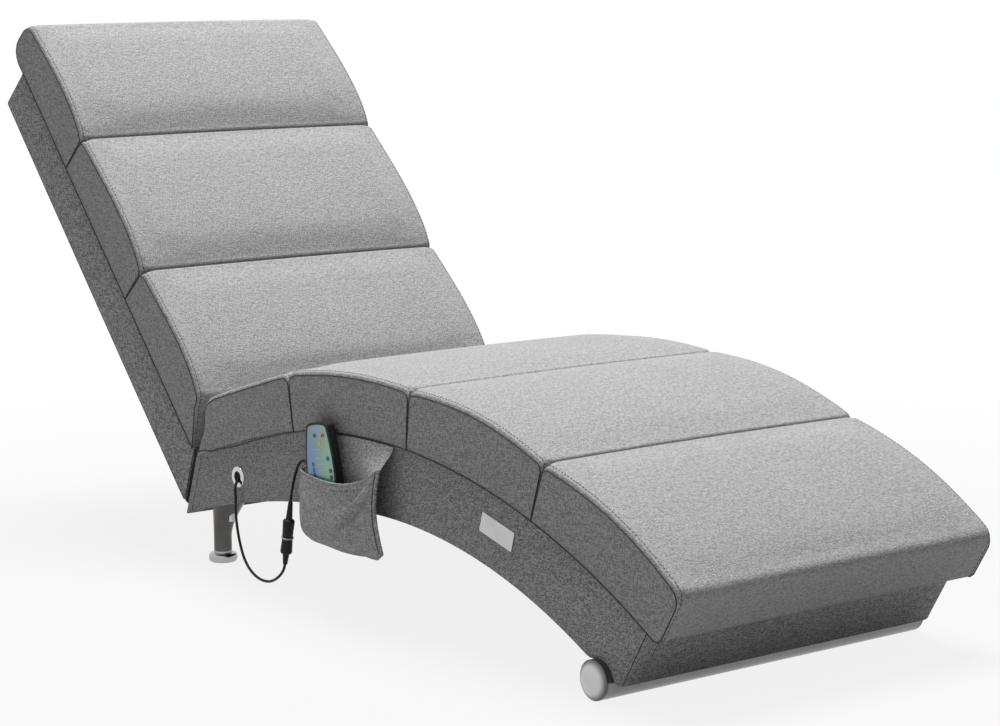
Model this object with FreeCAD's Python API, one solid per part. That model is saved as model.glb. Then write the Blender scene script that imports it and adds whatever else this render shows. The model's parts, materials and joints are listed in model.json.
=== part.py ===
"""Massage chaise: arched base, fixed back, seven padded sections, wired handset in a side pocket.

Millimetres, +Z up, +Y to the head end, X across the seat, Z zero on the floor.
Side profiles are drawn as (station, height) pairs: the station runs along Y from the foot tube.
"""
import FreeCAD
import Part
import math
import os

V = FreeCAD.Vector
X_AXIS = V(1, 0, 0)
Z_AXIS = V(0, 0, 1)

# Fits shared by many pieces
REST_GAP = 0.3            # a soft or curved piece lies this far off its seat
HOLE_PLAY = 0.1           # radial play of a bolt or stem in its hole
RUN_PLAY = 0.04           # radial play of a turning shaft
CUT_OVERRUN = 6.0         # a cutting tool reaches this far past the face it opens

# Overall width and the arched seat deck
CUSHION_WIDTH = 550.0
BASE_INSET = 4.0          # the base cover lies this far inside the cushion sides
DECK_RADIUS = 1120.0      # top face of the bent seat panel
CREST_STATION = 490.0
CREST_HEIGHT = 260.0
BASE_REAR_ARC = 456.0     # along the deck, crest to the rear end of the base
BASE_FRONT_ARC = 600.0    # along the deck, crest to the front end of the base
FRONT_FOOT_HEIGHT = 26.0  # flat underside of the base in front of the tube
REAR_LEAN = 21.0          # degrees, the rear end runs out backwards as it goes down

# Underside arch of the base
ARCH_STATION = 460.0
ARCH_HEIGHT = 158.0
ARCH_FRONT_RADIUS = 920.0
ARCH_REAR_RADIUS = 1680.0

# Base construction
COVER_THICK = 2.0
SIDE_BOARD_THICK = 18.0
END_BOARD_THICK = 15.0
FRONT_BOARD_RAISE = 34.0  # the front board ends this far above the cover's lower edge
DECK_THICK = 5.0
DUST_THICK = 1.5
DUST_FRONT_STATION = 62.0
RAIL_WIDTH = 45.0
RAIL_DEPTH = 28.0
RAIL_STATIONS = (250.0, 640.0)

# Seat cushions: four equal pads along the deck
SEAT_PAD_COUNT = 4
SEAT_PAD_THICK = 83.0
SEAT_REAR_SET = 8.0       # the rear pad stops short of the base's rear end
CALF_OVERHANG = 27.0      # the calf pad runs out past the base's front end
PAD_CROWN_ACROSS = 4.0
REAR_PADS_CROWN = 2.0     # swell along the two rear seat pads
FRONT_PADS_CROWN = 6.0    # and along the two front ones
PAD_EDGE_BAND = 16.0      # width of the rolled edge along each side
PAD_EDGE_DROP = 5.0       # the side welt lies this far below the pad's shoulder
PAD_NOTCH = 4.0           # at the sides each end leans in by this much, which leaves a notch
PAD_CREASE = 1.2          # across the middle the ends lean in only this much
PAD_CORNER = 9.0
PAD_REAR_CORNER = 58.0    # big round end of the rear seat pad
PAD_REAR_LEAN = 24.0      # and how far that end leans away from the back
PAD_FRONT_CORNER = 20.0
PAD_END_GAP = 0.5

# Back unit
BACK_ANGLE = 47.9         # degrees from the floor
BACK_GAP = 10.0           # open slit between the base and the back unit
BACK_RAISE = 10.0         # the back's lower front edge stands this far up the slit
BACK_LENGTH = 732.0
BACK_DEPTH = 78.0
BACK_PANEL_THICK = 5.0
BACK_REAR_THICK = 3.0
BACK_RAIL_THICK = 22.0
BACK_PAD_THICK = 72.0
BACK_PADS_CROWN = 8.0
HEAD_OVERHANG = 38.0      # the head pad runs out past the back unit's top
BACK_PAD_SHARES = (0.36, 0.333, 0.307)
LUMBAR_FOOT_RISE = 40.0   # the lumbar pad's lower end leans up the slope by this much
HEAD_CORNER = 18.0

# Plates that tie the back unit to the base, one inside each side board
TIE_PLATE_THICK = 5.0
TIE_PLATE_WIDTH = 28.0
TIE_DROP = 40.0           # the seat arms start this far under the deck's rear end
TIE_PANEL_CLEAR = 0.6     # the back arms run this far behind the back's front panel
TIE_SEAT_ARM = 92.0
TIE_BACK_ARM = 120.0
TIE_BOLT_EDGE = 18.0
TIE_BOLT_PITCH = 44.0
BOLT_DIAMETER = 8.0
BOLT_HEAD_DIAMETER = 14.0
BOLT_HEAD_HEIGHT = 5.0

# Foot tube
TUBE_DIAMETER = 52.0
TUBE_WALL = 2.0
TUBE_PROUD = 3.0          # the tube runs out past each cushion side by this much
TUBE_STATION = 8.0
TUBE_NOTCH_PLAY = 0.5
CAP_DOME = 11.0
CAP_RIM = 2.5
CAP_PLUG_LENGTH = 18.0
CAP_PLUG_WALL = 3.0
SADDLE_WIDTH = 60.0
SADDLE_SET = 27.0         # from the tube's end to the saddle's outer face
SADDLE_LENGTH = 52.0
SADDLE_TOP = 92.0
TUBE_BOLT_REACH = 8.0

# Rear legs
LEG_SIDE_SET = 60.0       # from the cushion side to the leg's middle
LEG_REAR_SET = 2.2        # the foot stands this far before the line of the rear wall
LEG_POST_DIAMETER = 27.0
LEG_TOP_DIAMETER = 58.0
LEG_TOP_SHIFT = 26.0      # the top of the leg swings this far towards the front
LEG_DISC_DIAMETER = 43.0
LEG_DISC_HEIGHT = 14.0
LEG_DISC_ROUND = 5.0
LEG_POST_HEIGHT = 40.0
LEG_BEND_SHARES = (0.0, 0.35, 0.75, 1.0)
LEG_FLARE_SHARES = (0.0, 0.22, 0.72, 1.0)
LEG_TOP_HEIGHT = 112.0
LEG_STUD_DIAMETER = 10.0
LEG_STUD_LENGTH = 46.0
LEG_STUD_IN_LEG = 26.0
LEG_BLOCK_WIDTH = 78.0
LEG_BLOCK_LENGTH = 92.0
LEG_BLOCK_CLEAR = 3.3     # the block ends this far under the tie plate

# Cable eyelet in the left side
EYELET_STATION = 818.0
EYELET_HEIGHT = 157.0
EYELET_OUTER = 31.0
EYELET_BORE = 17.0
EYELET_FLANGE = 2.5
EYELET_BARREL_WALL = 1.5
EYELET_WASHER_THICK = 1.2

# Control box inside the base
BOX_STATION = 738.0
BOX_DECK_CLEAR = 1.0      # the box's upper rear corner lies this far under the deck
BOX_LENGTH = 104.0
BOX_TALL = 62.0
BOX_DEEP = 30.0
BOX_WALL = 2.0
BOX_LID_THICK = 2.5
BOX_CORNER = 6.0
BOX_BOARD_THICK = 1.6
BOX_BOARD_LIFT = 6.0
INLET_DIAMETER = 11.0
INLET_FLANGE_DIAMETER = 15.0
INLET_FLANGE = 2.0
INLET_BORE = 5.5
INLET_DEPTH = 9.0
INLET_LENGTH = 13.0
INLET_SHIFT = 30.0

# Vibration motors, one in each of five pads
MOTOR_CASE_LENGTH = 80.0
MOTOR_CASE_WIDTH = 42.0
MOTOR_CASE_HEIGHT = 34.0
MOTOR_CASE_WALL = 2.0
MOTOR_CASE_CORNER = 8.0
MOTOR_CASE_SHOULDER = 5.0
MOTOR_CAN_DIAMETER = 24.0
MOTOR_CAN_LENGTH = 34.0
MOTOR_CHAMBER = 24.0      # room for the weight beside the can
MOTOR_SHAFT_DIAMETER = 3.0
MOTOR_SHAFT_LENGTH = 30.0
MOTOR_SHAFT_BITE = 12.0   # length of the shaft inside the can
WEIGHT_RADIUS = 11.0
WEIGHT_HUB_RADIUS = 4.0
WEIGHT_LENGTH = 12.0
WEIGHT_ROOM = 1.5         # free gap round the swinging weight
MOTOR_PAD_CLEAR = 0.4

# Side pocket
POCKET_LEFT = 640.0
POCKET_RIGHT_TOP = 430.0
POCKET_RIGHT = 452.0
POCKET_BOTTOM = 94.0
POCKET_TOP_DROP = 2.0     # the back sheet ends this far under the deck line
POCKET_SHEET = 1.5
POCKET_FRONT_LEFT = 598.0
POCKET_FRONT_RIGHT = 486.0
POCKET_BULGE = 30.0
POCKET_BELLY = 2.0
POCKET_LEVELS = (94.0, 100.0, 116.0, 150.0, 222.0)
POCKET_DEPTH_SHARES = (0.35, 0.74, 0.95, 1.0, 1.0)
POCKET_WIDTH_SHARES = (0.9, 0.97, 1.0, 1.0, 1.0)
POCKET_MOUTH_LEFT = 197.0
POCKET_MOUTH_MIDDLE = 188.0
POCKET_MOUTH_RIGHT = 215.0

# Bare metal plate on the base side
PLATE_STATION = 209.5
PLATE_HEIGHT = 177.5
PLATE_LENGTH = 68.0
PLATE_TALL = 27.0
PLATE_THICK = 1.5
PLATE_CORNER = 2.0
PLATE_SLOPE = 15.0        # degrees, falls towards the foot end with the base

# Handset: drawn upright, then leaned in the pocket
HANDSET_STATION = 556.0
HANDSET_BOTTOM = 128.0
HANDSET_LEAN = 9.0        # degrees, top towards the head end
HANDSET_LENGTH = 144.0
HANDSET_WAIST = 70.0
HANDSET_FOOT_WIDTH = 54.0
HANDSET_TOP_WIDTH = 48.0
HANDSET_WAIST_SHARE = 0.45
HANDSET_END_BULGE = 2.5
HANDSET_CORNER = 7.0
HANDSET_SIDE_CLEAR = 9.0  # the handset slides this far off the cushion sides
HANDSET_REAR_DEPTH = 6.0
HANDSET_FRONT_DEPTH = 7.5
HANDSET_WALL = 2.0
HANDSET_EDGE = 3.0
OVERLAY_THICK = 0.5
OVERLAY_INSET = 3.5
HANDSET_BOARD_THICK = 1.6
SWITCH_GAP = 0.9          # free travel under each button stem
BUTTON_DIAMETER = 6.4
BUTTON_PROUD = 1.0
BUTTON_FLANGE = 1.6
BUTTON_FLANGE_THICK = 1.2
BUTTON_PLAY = 0.15
# Across and up the face, from the bottom centre of the handset
BUTTON_PLACES = {
    "button_power": (6.0, 128.0),
    "button_heat": (-13.5, 128.0),
    "button_light": (-5.0, 117.0),
    "button_mode": (-20.5, 96.0),
    "button_back": (-25.0, 79.0),
    "button_seat": (-25.5, 70.0),
}

# In-line connector between the chair lead and the handset lead
CONNECTOR_OUT = 20.0      # the connector hangs this far outside the base
CONNECTOR_TOP_STATION = 654.0
CONNECTOR_TOP_HEIGHT = 148.0
CONNECTOR_LEAN = 10.0     # degrees, top towards the foot end; the handset lifts along this line
PLUG_BOOT = 25.0
PLUG_BODY = 27.0
RING_LENGTH = 2.0
SOCKET_BODY = 24.0
SOCKET_BOOT = 15.0
CONNECTOR_DIAMETER = 17.0
CONNECTOR_NECK = 15.0
RING_DIAMETER = 17.6
BOOT_ROOT = 9.5
BOOT_TIP = 6.4
PIN_DIAMETER = 6.0
PIN_LENGTH = 12.0
PIN_PLAY = 0.1
LEAD_DIAMETER = 4.0
LEAD_BITE = 6.0           # each boot grips this much of its lead
LEAD_TURN_SHARE = 0.45
HANDSET_EXIT_ACROSS = 10.0  # the lead leaves the handset's foot this far off its middle

# Route of the chair lead: control box, eyelet, free loop, up to the socket.
# Each point is how far it lies outside the base's left face, its station and its height.
CHAIR_LEAD_ROUTE = (
    (-33.0, 790.4, 169.0), (-32.0, 803.0, 166.0), (-25.0, 813.0, 161.5), (-12.0, 817.5, 158.5),
    (2.0, 817.0, 155.5), (10.0, 813.5, 144.0), (11.5, 809.5, 126.0), (12.0, 809.5, 105.0),
    (12.5, 805.0, 83.0), (13.5, 797.0, 63.0), (15.0, 784.0, 42.0), (16.5, 763.0, 27.0),
    (18.0, 738.0, 20.8), (19.0, 714.0, 22.0), (19.5, 696.0, 29.0), (20.0, 681.5, 38.5),
)
# Route of the handset lead: handset foot, turn in the pocket, over the pocket's corner, to the plug
HANDSET_LEAD_ROUTE = (
    (19.5, 564.0, 115.5), (17.5, 568.5, 106.5), (14.0, 577.5, 102.5), (11.5, 589.0, 104.0),
    (10.8, 598.5, 111.5), (11.0, 604.5, 123.5), (11.5, 608.0, 140.0), (12.0, 609.5, 165.0),
    (12.0, 610.5, 184.0), (12.0, 613.0, 199.0), (12.0, 621.5, 209.0), (12.5, 632.5, 210.5),
    (13.5, 641.5, 204.0), (15.5, 646.2, 192.0), (18.0, 649.2, 177.0), (19.5, 651.6, 162.5),
)

# Worked out from the driving dimensions
BASE_HALF = CUSHION_WIDTH / 2 - BASE_INSET
TUBE_LENGTH = CUSHION_WIDTH + 2 * TUBE_PROUD
LEG_X = CUSHION_WIDTH / 2 - LEG_SIDE_SET
BOARD_OUT = BASE_HALF - COVER_THICK
BOARD_IN = BOARD_OUT - SIDE_BOARD_THICK
TUBE_RADIUS = TUBE_DIAMETER / 2
DECK_CENTRE = (CREST_STATION, CREST_HEIGHT - DECK_RADIUS)
ARCH_FRONT_CENTRE = (ARCH_STATION, ARCH_HEIGHT - ARCH_FRONT_RADIUS)
ARCH_REAR_CENTRE = (ARCH_STATION, ARCH_HEIGHT - ARCH_REAR_RADIUS)
SEAT_PITCH = (BASE_REAR_ARC - SEAT_REAR_SET + BASE_FRONT_ARC + CALF_OVERHANG) / SEAT_PAD_COUNT
BACK_SLOPE = (math.cos(math.radians(BACK_ANGLE)), math.sin(math.radians(BACK_ANGLE)))
BACK_NORMAL = (-BACK_SLOPE[1], BACK_SLOPE[0])
SLIT_DOWN = (math.sin(math.radians(REAR_LEAN)), -math.cos(math.radians(REAR_LEAN)))
SLIT_OUT = (-SLIT_DOWN[1], SLIT_DOWN[0])


def shift(point, direction, distance):
    """Point moved along a direction, both as (station, height)."""
    return (point[0] + direction[0] * distance, point[1] + direction[1] * distance)


def deck_point(arc, height=0.0):
    """Point at a length along the deck from its crest, rear positive, and a height above the deck."""
    angle = arc / DECK_RADIUS
    reach = DECK_RADIUS + height
    return (DECK_CENTRE[0] + reach * math.sin(angle), DECK_CENTRE[1] + reach * math.cos(angle))


REAR_EDGE = deck_point(BASE_REAR_ARC)
LEG_STATION = REAR_EDGE[0] + (REAR_EDGE[1] - LEG_TOP_HEIGHT) * SLIT_OUT[1] / SLIT_OUT[0] - LEG_REAR_SET
BOX_REAR_STATION = BOX_STATION + BOX_LENGTH / 2
BOX_ANGLE = math.asin((BOX_REAR_STATION - CREST_STATION) / DECK_RADIUS)
BOX_REAR_HEIGHT = DECK_CENTRE[1] + DECK_RADIUS * math.cos(BOX_ANGLE)
BOX_HEIGHT_CENTRE = BOX_REAR_HEIGHT - DECK_THICK - BOX_DECK_CLEAR - BOX_TALL / 2
BACK_ORIGIN = shift(shift(REAR_EDGE, SLIT_OUT, BACK_GAP), SLIT_DOWN, -BACK_RAISE)


def back_point(along, out=0.0):
    """Point up the back slope from its lower front edge, and out from the back's front plane."""
    return shift(shift(BACK_ORIGIN, BACK_SLOPE, along), BACK_NORMAL, out)


FRONT_REACH = deck_point(-BASE_FRONT_ARC - CALF_OVERHANG, SEAT_PAD_THICK)[0]
REAR_REACH = back_point(BACK_LENGTH, -BACK_DEPTH)[0]
STATION_CENTRE = (FRONT_REACH + REAR_REACH) / 2


def at(x, point):
    """Vector in the part's frame from an X and a (station, height) pair."""
    return V(x, point[0] - STATION_CENTRE, point[1])


def route_vectors(route):
    """Vectors in the part's frame for a lead's hand-placed points."""
    return [at(-BASE_HALF - out, (station, height)) for out, station, height in route]


def line(x, a, b):
    return Part.LineSegment(at(x, a), at(x, b)).toShape()


def arc(x, a, middle, b):
    return Part.Arc(at(x, a), at(x, middle), at(x, b)).toShape()


def slab(edges_at, x_from, x_to):
    """Solid of a side profile between two X planes; edges_at gives the profile's edges at an X."""
    face = Part.Face(Part.Wire(edges_at(x_from)))
    return face.extrude(V(x_to - x_from, 0, 0))


def polygon(points):
    """Side profile with straight edges, for slab."""
    return lambda x: [line(x, a, b) for a, b in zip(points, points[1:] + points[:1])]


def rod(start, direction, radius, length):
    return Part.makeCylinder(radius, length, start, direction)


def save(name, *solids):
    """Write one node; several solids make a group of separate pieces."""
    shape = solids[0] if len(solids) == 1 else Part.makeCompound(list(solids))
    shape.exportStep("parts/" + name + ".step")
    volume = sum(solid.Volume for solid in shape.Solids)
    print(name, "solids", len(shape.Solids), "valid", shape.isValid(), "cm3", round(volume / 1000, 2))


def meet(point, direction, centre, radius):
    """Where a line first meets a circle at or after its start, in (station, height)."""
    away = (point[0] - centre[0], point[1] - centre[1])
    half = away[0] * direction[0] + away[1] * direction[1]
    rest = away[0] ** 2 + away[1] ** 2 - radius ** 2
    root = math.sqrt(half ** 2 - rest)
    near = min((-half - root, -half + root), key=abs)
    return shift(point, direction, near)


def on_circle(centre, radius, station):
    """Upper point of a circle at a station."""
    return (station, centre[1] + math.sqrt(radius ** 2 - (station - centre[0]) ** 2))


def base_outline(front_inset, rear_inset, top_drop, bottom_raise):
    """Edges of the base's side profile, drawn in from its front, rear, top and underside."""
    front_angle = -BASE_FRONT_ARC / DECK_RADIUS
    front_down = (-math.sin(front_angle), -math.cos(front_angle))
    front_in = (-front_down[1], front_down[0])
    front = shift(deck_point(-BASE_FRONT_ARC), front_in, front_inset)
    rear = shift(deck_point(BASE_REAR_ARC), SLIT_OUT, -rear_inset)
    top_radius = DECK_RADIUS - top_drop
    front_radius = ARCH_FRONT_RADIUS + bottom_raise
    rear_radius = ARCH_REAR_RADIUS + bottom_raise
    level = FRONT_FOOT_HEIGHT + bottom_raise
    rear_foot = shift(rear, SLIT_DOWN, CREST_HEIGHT - ARCH_HEIGHT)
    corner_front_top = meet(front, front_down, DECK_CENTRE, top_radius)
    corner_rear_top = meet(rear, SLIT_DOWN, DECK_CENTRE, top_radius)
    corner_front_low = shift(front, front_down, (front[1] - level) / -front_down[1])
    reach = math.sqrt(front_radius ** 2 - (level - ARCH_FRONT_CENTRE[1]) ** 2)
    arch_start = (ARCH_FRONT_CENTRE[0] - reach, level)
    corner_rear_low = meet(rear_foot, SLIT_DOWN, ARCH_REAR_CENTRE, rear_radius)
    crown = on_circle(ARCH_REAR_CENTRE, rear_radius, ARCH_STATION)
    front_middle = on_circle(ARCH_FRONT_CENTRE, front_radius, (arch_start[0] + ARCH_STATION) / 2)
    rear_middle = on_circle(ARCH_REAR_CENTRE, rear_radius, (corner_rear_low[0] + ARCH_STATION) / 2)
    top_middle = on_circle(DECK_CENTRE, top_radius, CREST_STATION)

    def edges(x):
        return [
            arc(x, corner_rear_top, top_middle, corner_front_top),
            line(x, corner_front_top, corner_front_low),
            line(x, corner_front_low, arch_start),
            arc(x, arch_start, front_middle, crown),
            arc(x, crown, rear_middle, corner_rear_low),
            line(x, corner_rear_low, corner_rear_top),
        ]
    return edges


def tube_notch(play):
    """Cutter round the foot tube, through the whole base."""
    reach = CUSHION_WIDTH / 2 + CUT_OVERRUN
    return rod(at(-reach, (TUBE_STATION, TUBE_RADIUS)), X_AXIS, TUBE_RADIUS + play, 2 * reach)


def base_inside():
    """Room inside the base between its boards, deck and dust cover."""
    ends = COVER_THICK + END_BOARD_THICK
    return slab(base_outline(ends, ends, DECK_THICK, DUST_THICK), -BOARD_IN, BOARD_IN)


def block(x_from, x_to, station_from, station_to, low, high):
    corner = at(x_from, (station_from, low))
    return Part.makeBox(x_to - x_from, station_to - station_from, high - low, corner)


def eyelet_hole(radius):
    """Cutter for the cable eyelet through the left cover and board."""
    reach = BASE_HALF - BOARD_IN + 2 * CUT_OVERRUN
    start = at(-BASE_HALF - CUT_OVERRUN, (EYELET_STATION, EYELET_HEIGHT))
    return rod(start, X_AXIS, radius, reach)


def tie_line():
    """Corner of the tie plates, then direction and length of each arm, in (station, height)."""
    seat_angle = BASE_REAR_ARC / DECK_RADIUS
    seat_arm = (-math.cos(seat_angle), math.sin(seat_angle))
    start = deck_point(BASE_REAR_ARC, -TIE_DROP)
    back_line = back_point(0, -BACK_PANEL_THICK - TIE_PANEL_CLEAR - TIE_PLATE_WIDTH / 2)
    away = (back_line[0] - start[0], back_line[1] - start[1])
    slant = seat_arm[0] * BACK_NORMAL[0] + seat_arm[1] * BACK_NORMAL[1]
    reach = (away[0] * BACK_NORMAL[0] + away[1] * BACK_NORMAL[1]) / slant
    return shift(start, seat_arm, reach), ((seat_arm, TIE_SEAT_ARM), (BACK_SLOPE, TIE_BACK_ARM))


def stadium(start, end, width, x_from, x_to):
    """Flat bar with round ends between two points of the side profile."""
    length = math.hypot(end[0] - start[0], end[1] - start[1])
    along = ((end[0] - start[0]) / length, (end[1] - start[1]) / length)
    across = (-along[1] * width / 2, along[0] * width / 2)
    back = (-across[0], -across[1])
    corners = [shift(start, across, 1), shift(end, across, 1), shift(end, back, 1), shift(start, back, 1)]
    tips = (shift(end, along, width / 2), shift(start, along, -width / 2))

    def edges(x):
        return [
            line(x, corners[0], corners[1]), arc(x, corners[1], tips[0], corners[2]),
            line(x, corners[2], corners[3]), arc(x, corners[3], tips[1], corners[0]),
        ]
    return slab(edges, x_from, x_to)


def tie_plate(hand, clearance):
    """One elbow plate, flat against the inside of a side board, grown by a clearance."""
    corner, arms = tie_line()
    width = TIE_PLATE_WIDTH + 2 * clearance
    faces = (hand * (BOARD_IN - TIE_PLATE_THICK - clearance), hand * (BOARD_IN + clearance))
    bars = []
    for direction, length in arms:
        bars.append(stadium(corner, shift(corner, direction, length - TIE_PLATE_WIDTH / 2), width, *faces))
    return bars[0].fuse(bars[1]).removeSplitter()


def tie_bolt_places():
    corner, arms = tie_line()
    places = []
    for direction, length in arms:
        outer = length - TIE_BOLT_EDGE
        places += [shift(corner, direction, outer), shift(corner, direction, outer - TIE_BOLT_PITCH)]
    return places


def tie_bolt_holes(side):
    """Cutters for the tie bolts through one side's board and plate."""
    start = min(side * BOARD_OUT, side * (BOARD_IN - TIE_PLATE_THICK - CUT_OVERRUN))
    length = SIDE_BOARD_THICK + TIE_PLATE_THICK + CUT_OVERRUN
    radius = BOLT_DIAMETER / 2 + HOLE_PLAY
    return [rod(at(start, place), X_AXIS, radius, length) for place in tie_bolt_places()]


def make_base():
    """Cover, boards, deck, rails, blocks and dust cover of the arched base."""
    shell = slab(base_outline(0, 0, 0, 0), -BASE_HALF, BASE_HALF)
    room = slab(base_outline(COVER_THICK, COVER_THICK, -CUT_OVERRUN, -CUT_OVERRUN), -BOARD_OUT, BOARD_OUT)
    barrel = EYELET_BORE / 2 + EYELET_BARREL_WALL
    notch = tube_notch(TUBE_NOTCH_PLAY)
    cover = shell.cut(room).cut(notch).cut(eyelet_hole(barrel + HOLE_PLAY))
    for hand in (-1, 1):
        cover = cover.cut(tie_plate(hand, REST_GAP))
    save("base_cover", cover)

    side = base_outline(COVER_THICK, COVER_THICK, DECK_THICK, DUST_THICK)
    for name, hand in (("base_side_board_left", -1), ("base_side_board_right", 1)):
        board = slab(side, hand * BOARD_IN, hand * BOARD_OUT).cut(notch)
        for hole in tie_bolt_holes(hand):
            board = board.cut(hole)
        if hand < 0:
            board = board.cut(eyelet_hole(barrel + HOLE_PLAY))
        save(name, board)

    ends = COVER_THICK + END_BOARD_THICK
    inside = base_inside()
    front_full = slab(base_outline(COVER_THICK, ends, DECK_THICK, FRONT_BOARD_RAISE), -BOARD_IN, BOARD_IN)
    front_rest = slab(base_outline(ends, 0, 0, 0), -BASE_HALF, BASE_HALF)
    rear_half = BOARD_IN - TIE_PLATE_THICK - BOLT_HEAD_HEIGHT
    rear_full = slab(base_outline(ends, COVER_THICK, DECK_THICK, DUST_THICK), -rear_half, rear_half)
    rear_rest = slab(base_outline(0, ends, 0, 0), -BASE_HALF, BASE_HALF)
    save("base_end_boards", front_full.cut(front_rest), rear_full.cut(rear_rest))

    deck = slab(base_outline(COVER_THICK, COVER_THICK, 0, 0), -BOARD_OUT, BOARD_OUT)
    deck_under = slab(base_outline(0, 0, DECK_THICK, 0), -BASE_HALF, BASE_HALF)
    deck = deck.cut(deck_under)
    for hand in (-1, 1):
        deck = deck.cut(tie_plate(hand, REST_GAP))
    save("base_deck", deck)

    rails = []
    for station in RAIL_STATIONS:
        top = on_circle(DECK_CENTRE, DECK_RADIUS, station)[1]
        low = top - DECK_THICK - RAIL_DEPTH
        rail_ends = (station - RAIL_WIDTH / 2, station + RAIL_WIDTH / 2)
        span = block(-BOARD_IN, BOARD_IN, *rail_ends, low, CREST_HEIGHT)
        rails.append(inside.common(span))
    save("base_cross_rails", *rails)

    dust = slab(base_outline(ends, COVER_THICK, 0, 0), -BOARD_OUT, BOARD_OUT)
    dust_over = slab(base_outline(0, 0, 0, DUST_THICK), -BASE_HALF, BASE_HALF)
    front = block(-BASE_HALF, BASE_HALF, FRONT_REACH, DUST_FRONT_STATION, 0, CREST_HEIGHT)
    inlet_radius = INLET_DIAMETER / 2 + HOLE_PLAY
    inlet = rod(at(inlet_x(), (BOX_STATION - INLET_SHIFT, 0)), Z_AXIS, inlet_radius, CREST_HEIGHT)
    sheet = dust.cut(dust_over).cut(front).cut(inlet)
    for hand in (-1, 1):
        sheet = sheet.cut(leg_stud_tool(hand, HOLE_PLAY))
    save("base_dust_cover", sheet)

    blocks = []
    for hand in (-1, 1):
        x_ends = sorted((hand * BOARD_IN, hand * (BOARD_IN - LEG_BLOCK_WIDTH)))
        rear_edge = LEG_STATION + LEG_BLOCK_LENGTH
        block_top = tie_line()[0][1] - TIE_PLATE_WIDTH / 2 - LEG_BLOCK_CLEAR
        span = block(*x_ends, LEG_STATION - LEG_BLOCK_LENGTH, rear_edge, 0, block_top)
        blocks.append(inside.common(span).cut(leg_stud_tool(hand, HOLE_PLAY)))
    save("leg_blocks", *blocks)


def foot_at(out, inset):
    """Point on the back unit's lower end, drawn in by inset, at a distance out from its front plane."""
    fall = SLIT_DOWN[0] * BACK_NORMAL[0] + SLIT_DOWN[1] * BACK_NORMAL[1]
    offset = (SLIT_OUT[0] * BACK_NORMAL[0] + SLIT_OUT[1] * BACK_NORMAL[1]) * inset
    return shift(shift(BACK_ORIGIN, SLIT_OUT, inset), SLIT_DOWN, (out - offset) / fall)


def back_outline(foot_inset, rear_inset, head_inset, front_inset):
    """Side profile of the back unit, drawn in from its foot, rear, head and front."""
    rear = rear_inset - BACK_DEPTH
    head = BACK_LENGTH - head_inset
    lower = [foot_at(-front_inset, foot_inset), foot_at(rear, foot_inset)]
    return polygon(lower + [back_point(head, rear), back_point(head, -front_inset)])


def make_back():
    """Cover, side boards, rails and panels of the back unit."""
    wall = COVER_THICK
    shell = slab(back_outline(0, 0, 0, 0), -BASE_HALF, BASE_HALF)
    room = slab(back_outline(wall, wall, wall, -CUT_OVERRUN), -BOARD_OUT, BOARD_OUT)
    cover = shell.cut(room)
    for hand in (-1, 1):
        cover = cover.cut(tie_plate(hand, REST_GAP))
    save("back_cover", cover)
    boards = []
    for hand in (-1, 1):
        outline = back_outline(wall, wall, wall, BACK_PANEL_THICK)
        board = slab(outline, hand * BOARD_IN, hand * BOARD_OUT)
        for hole in tie_bolt_holes(hand):
            board = board.cut(hole)
        boards.append(board)
    save("back_side_boards", *boards)
    panel = slab(back_outline(wall, BACK_DEPTH - BACK_PANEL_THICK, wall, 0), -BOARD_OUT, BOARD_OUT)
    save("back_front_panel", panel)
    rear_front = BACK_DEPTH - wall - BACK_REAR_THICK
    save("back_rear_panel", slab(back_outline(wall, wall, wall, rear_front), -BOARD_IN, BOARD_IN))
    head = BACK_LENGTH - wall
    top_rail = [
        back_point(head - BACK_RAIL_THICK, -rear_front), back_point(head, -rear_front),
        back_point(head, -BACK_PANEL_THICK), back_point(head - BACK_RAIL_THICK, -BACK_PANEL_THICK),
    ]
    low = [foot_at(-BACK_PANEL_THICK, wall), foot_at(-rear_front, wall)]
    high = [shift(point, BACK_SLOPE, BACK_RAIL_THICK) for point in reversed(low)]
    foot_half = BOARD_IN - TIE_PLATE_THICK - BOLT_HEAD_HEIGHT
    foot_rail = slab(polygon(low + high), -foot_half, foot_half)
    save("back_rails", slab(polygon(top_rail), -BOARD_IN, BOARD_IN), foot_rail)


def make_ties():
    """Elbow plates and bolts that hold the back unit on the base."""
    plates = []
    bolts = []
    for hand in (-1, 1):
        plate = tie_plate(hand, 0)
        for hole in tie_bolt_holes(hand):
            plate = plate.cut(hole)
        plates.append(plate)
        inward = V(-hand, 0, 0)
        for place in tie_bolt_places():
            shank_start = at(hand * BOARD_OUT, place)
            shank = rod(shank_start, inward, BOLT_DIAMETER / 2, SIDE_BOARD_THICK + TIE_PLATE_THICK)
            head_start = at(hand * (BOARD_IN - TIE_PLATE_THICK), place)
            head = rod(head_start, inward, BOLT_HEAD_DIAMETER / 2, BOLT_HEAD_HEIGHT)
            bolts.append(shank.fuse(head).removeSplitter())
    save("tie_plates", *plates)
    save("tie_bolts", *bolts)


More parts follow.
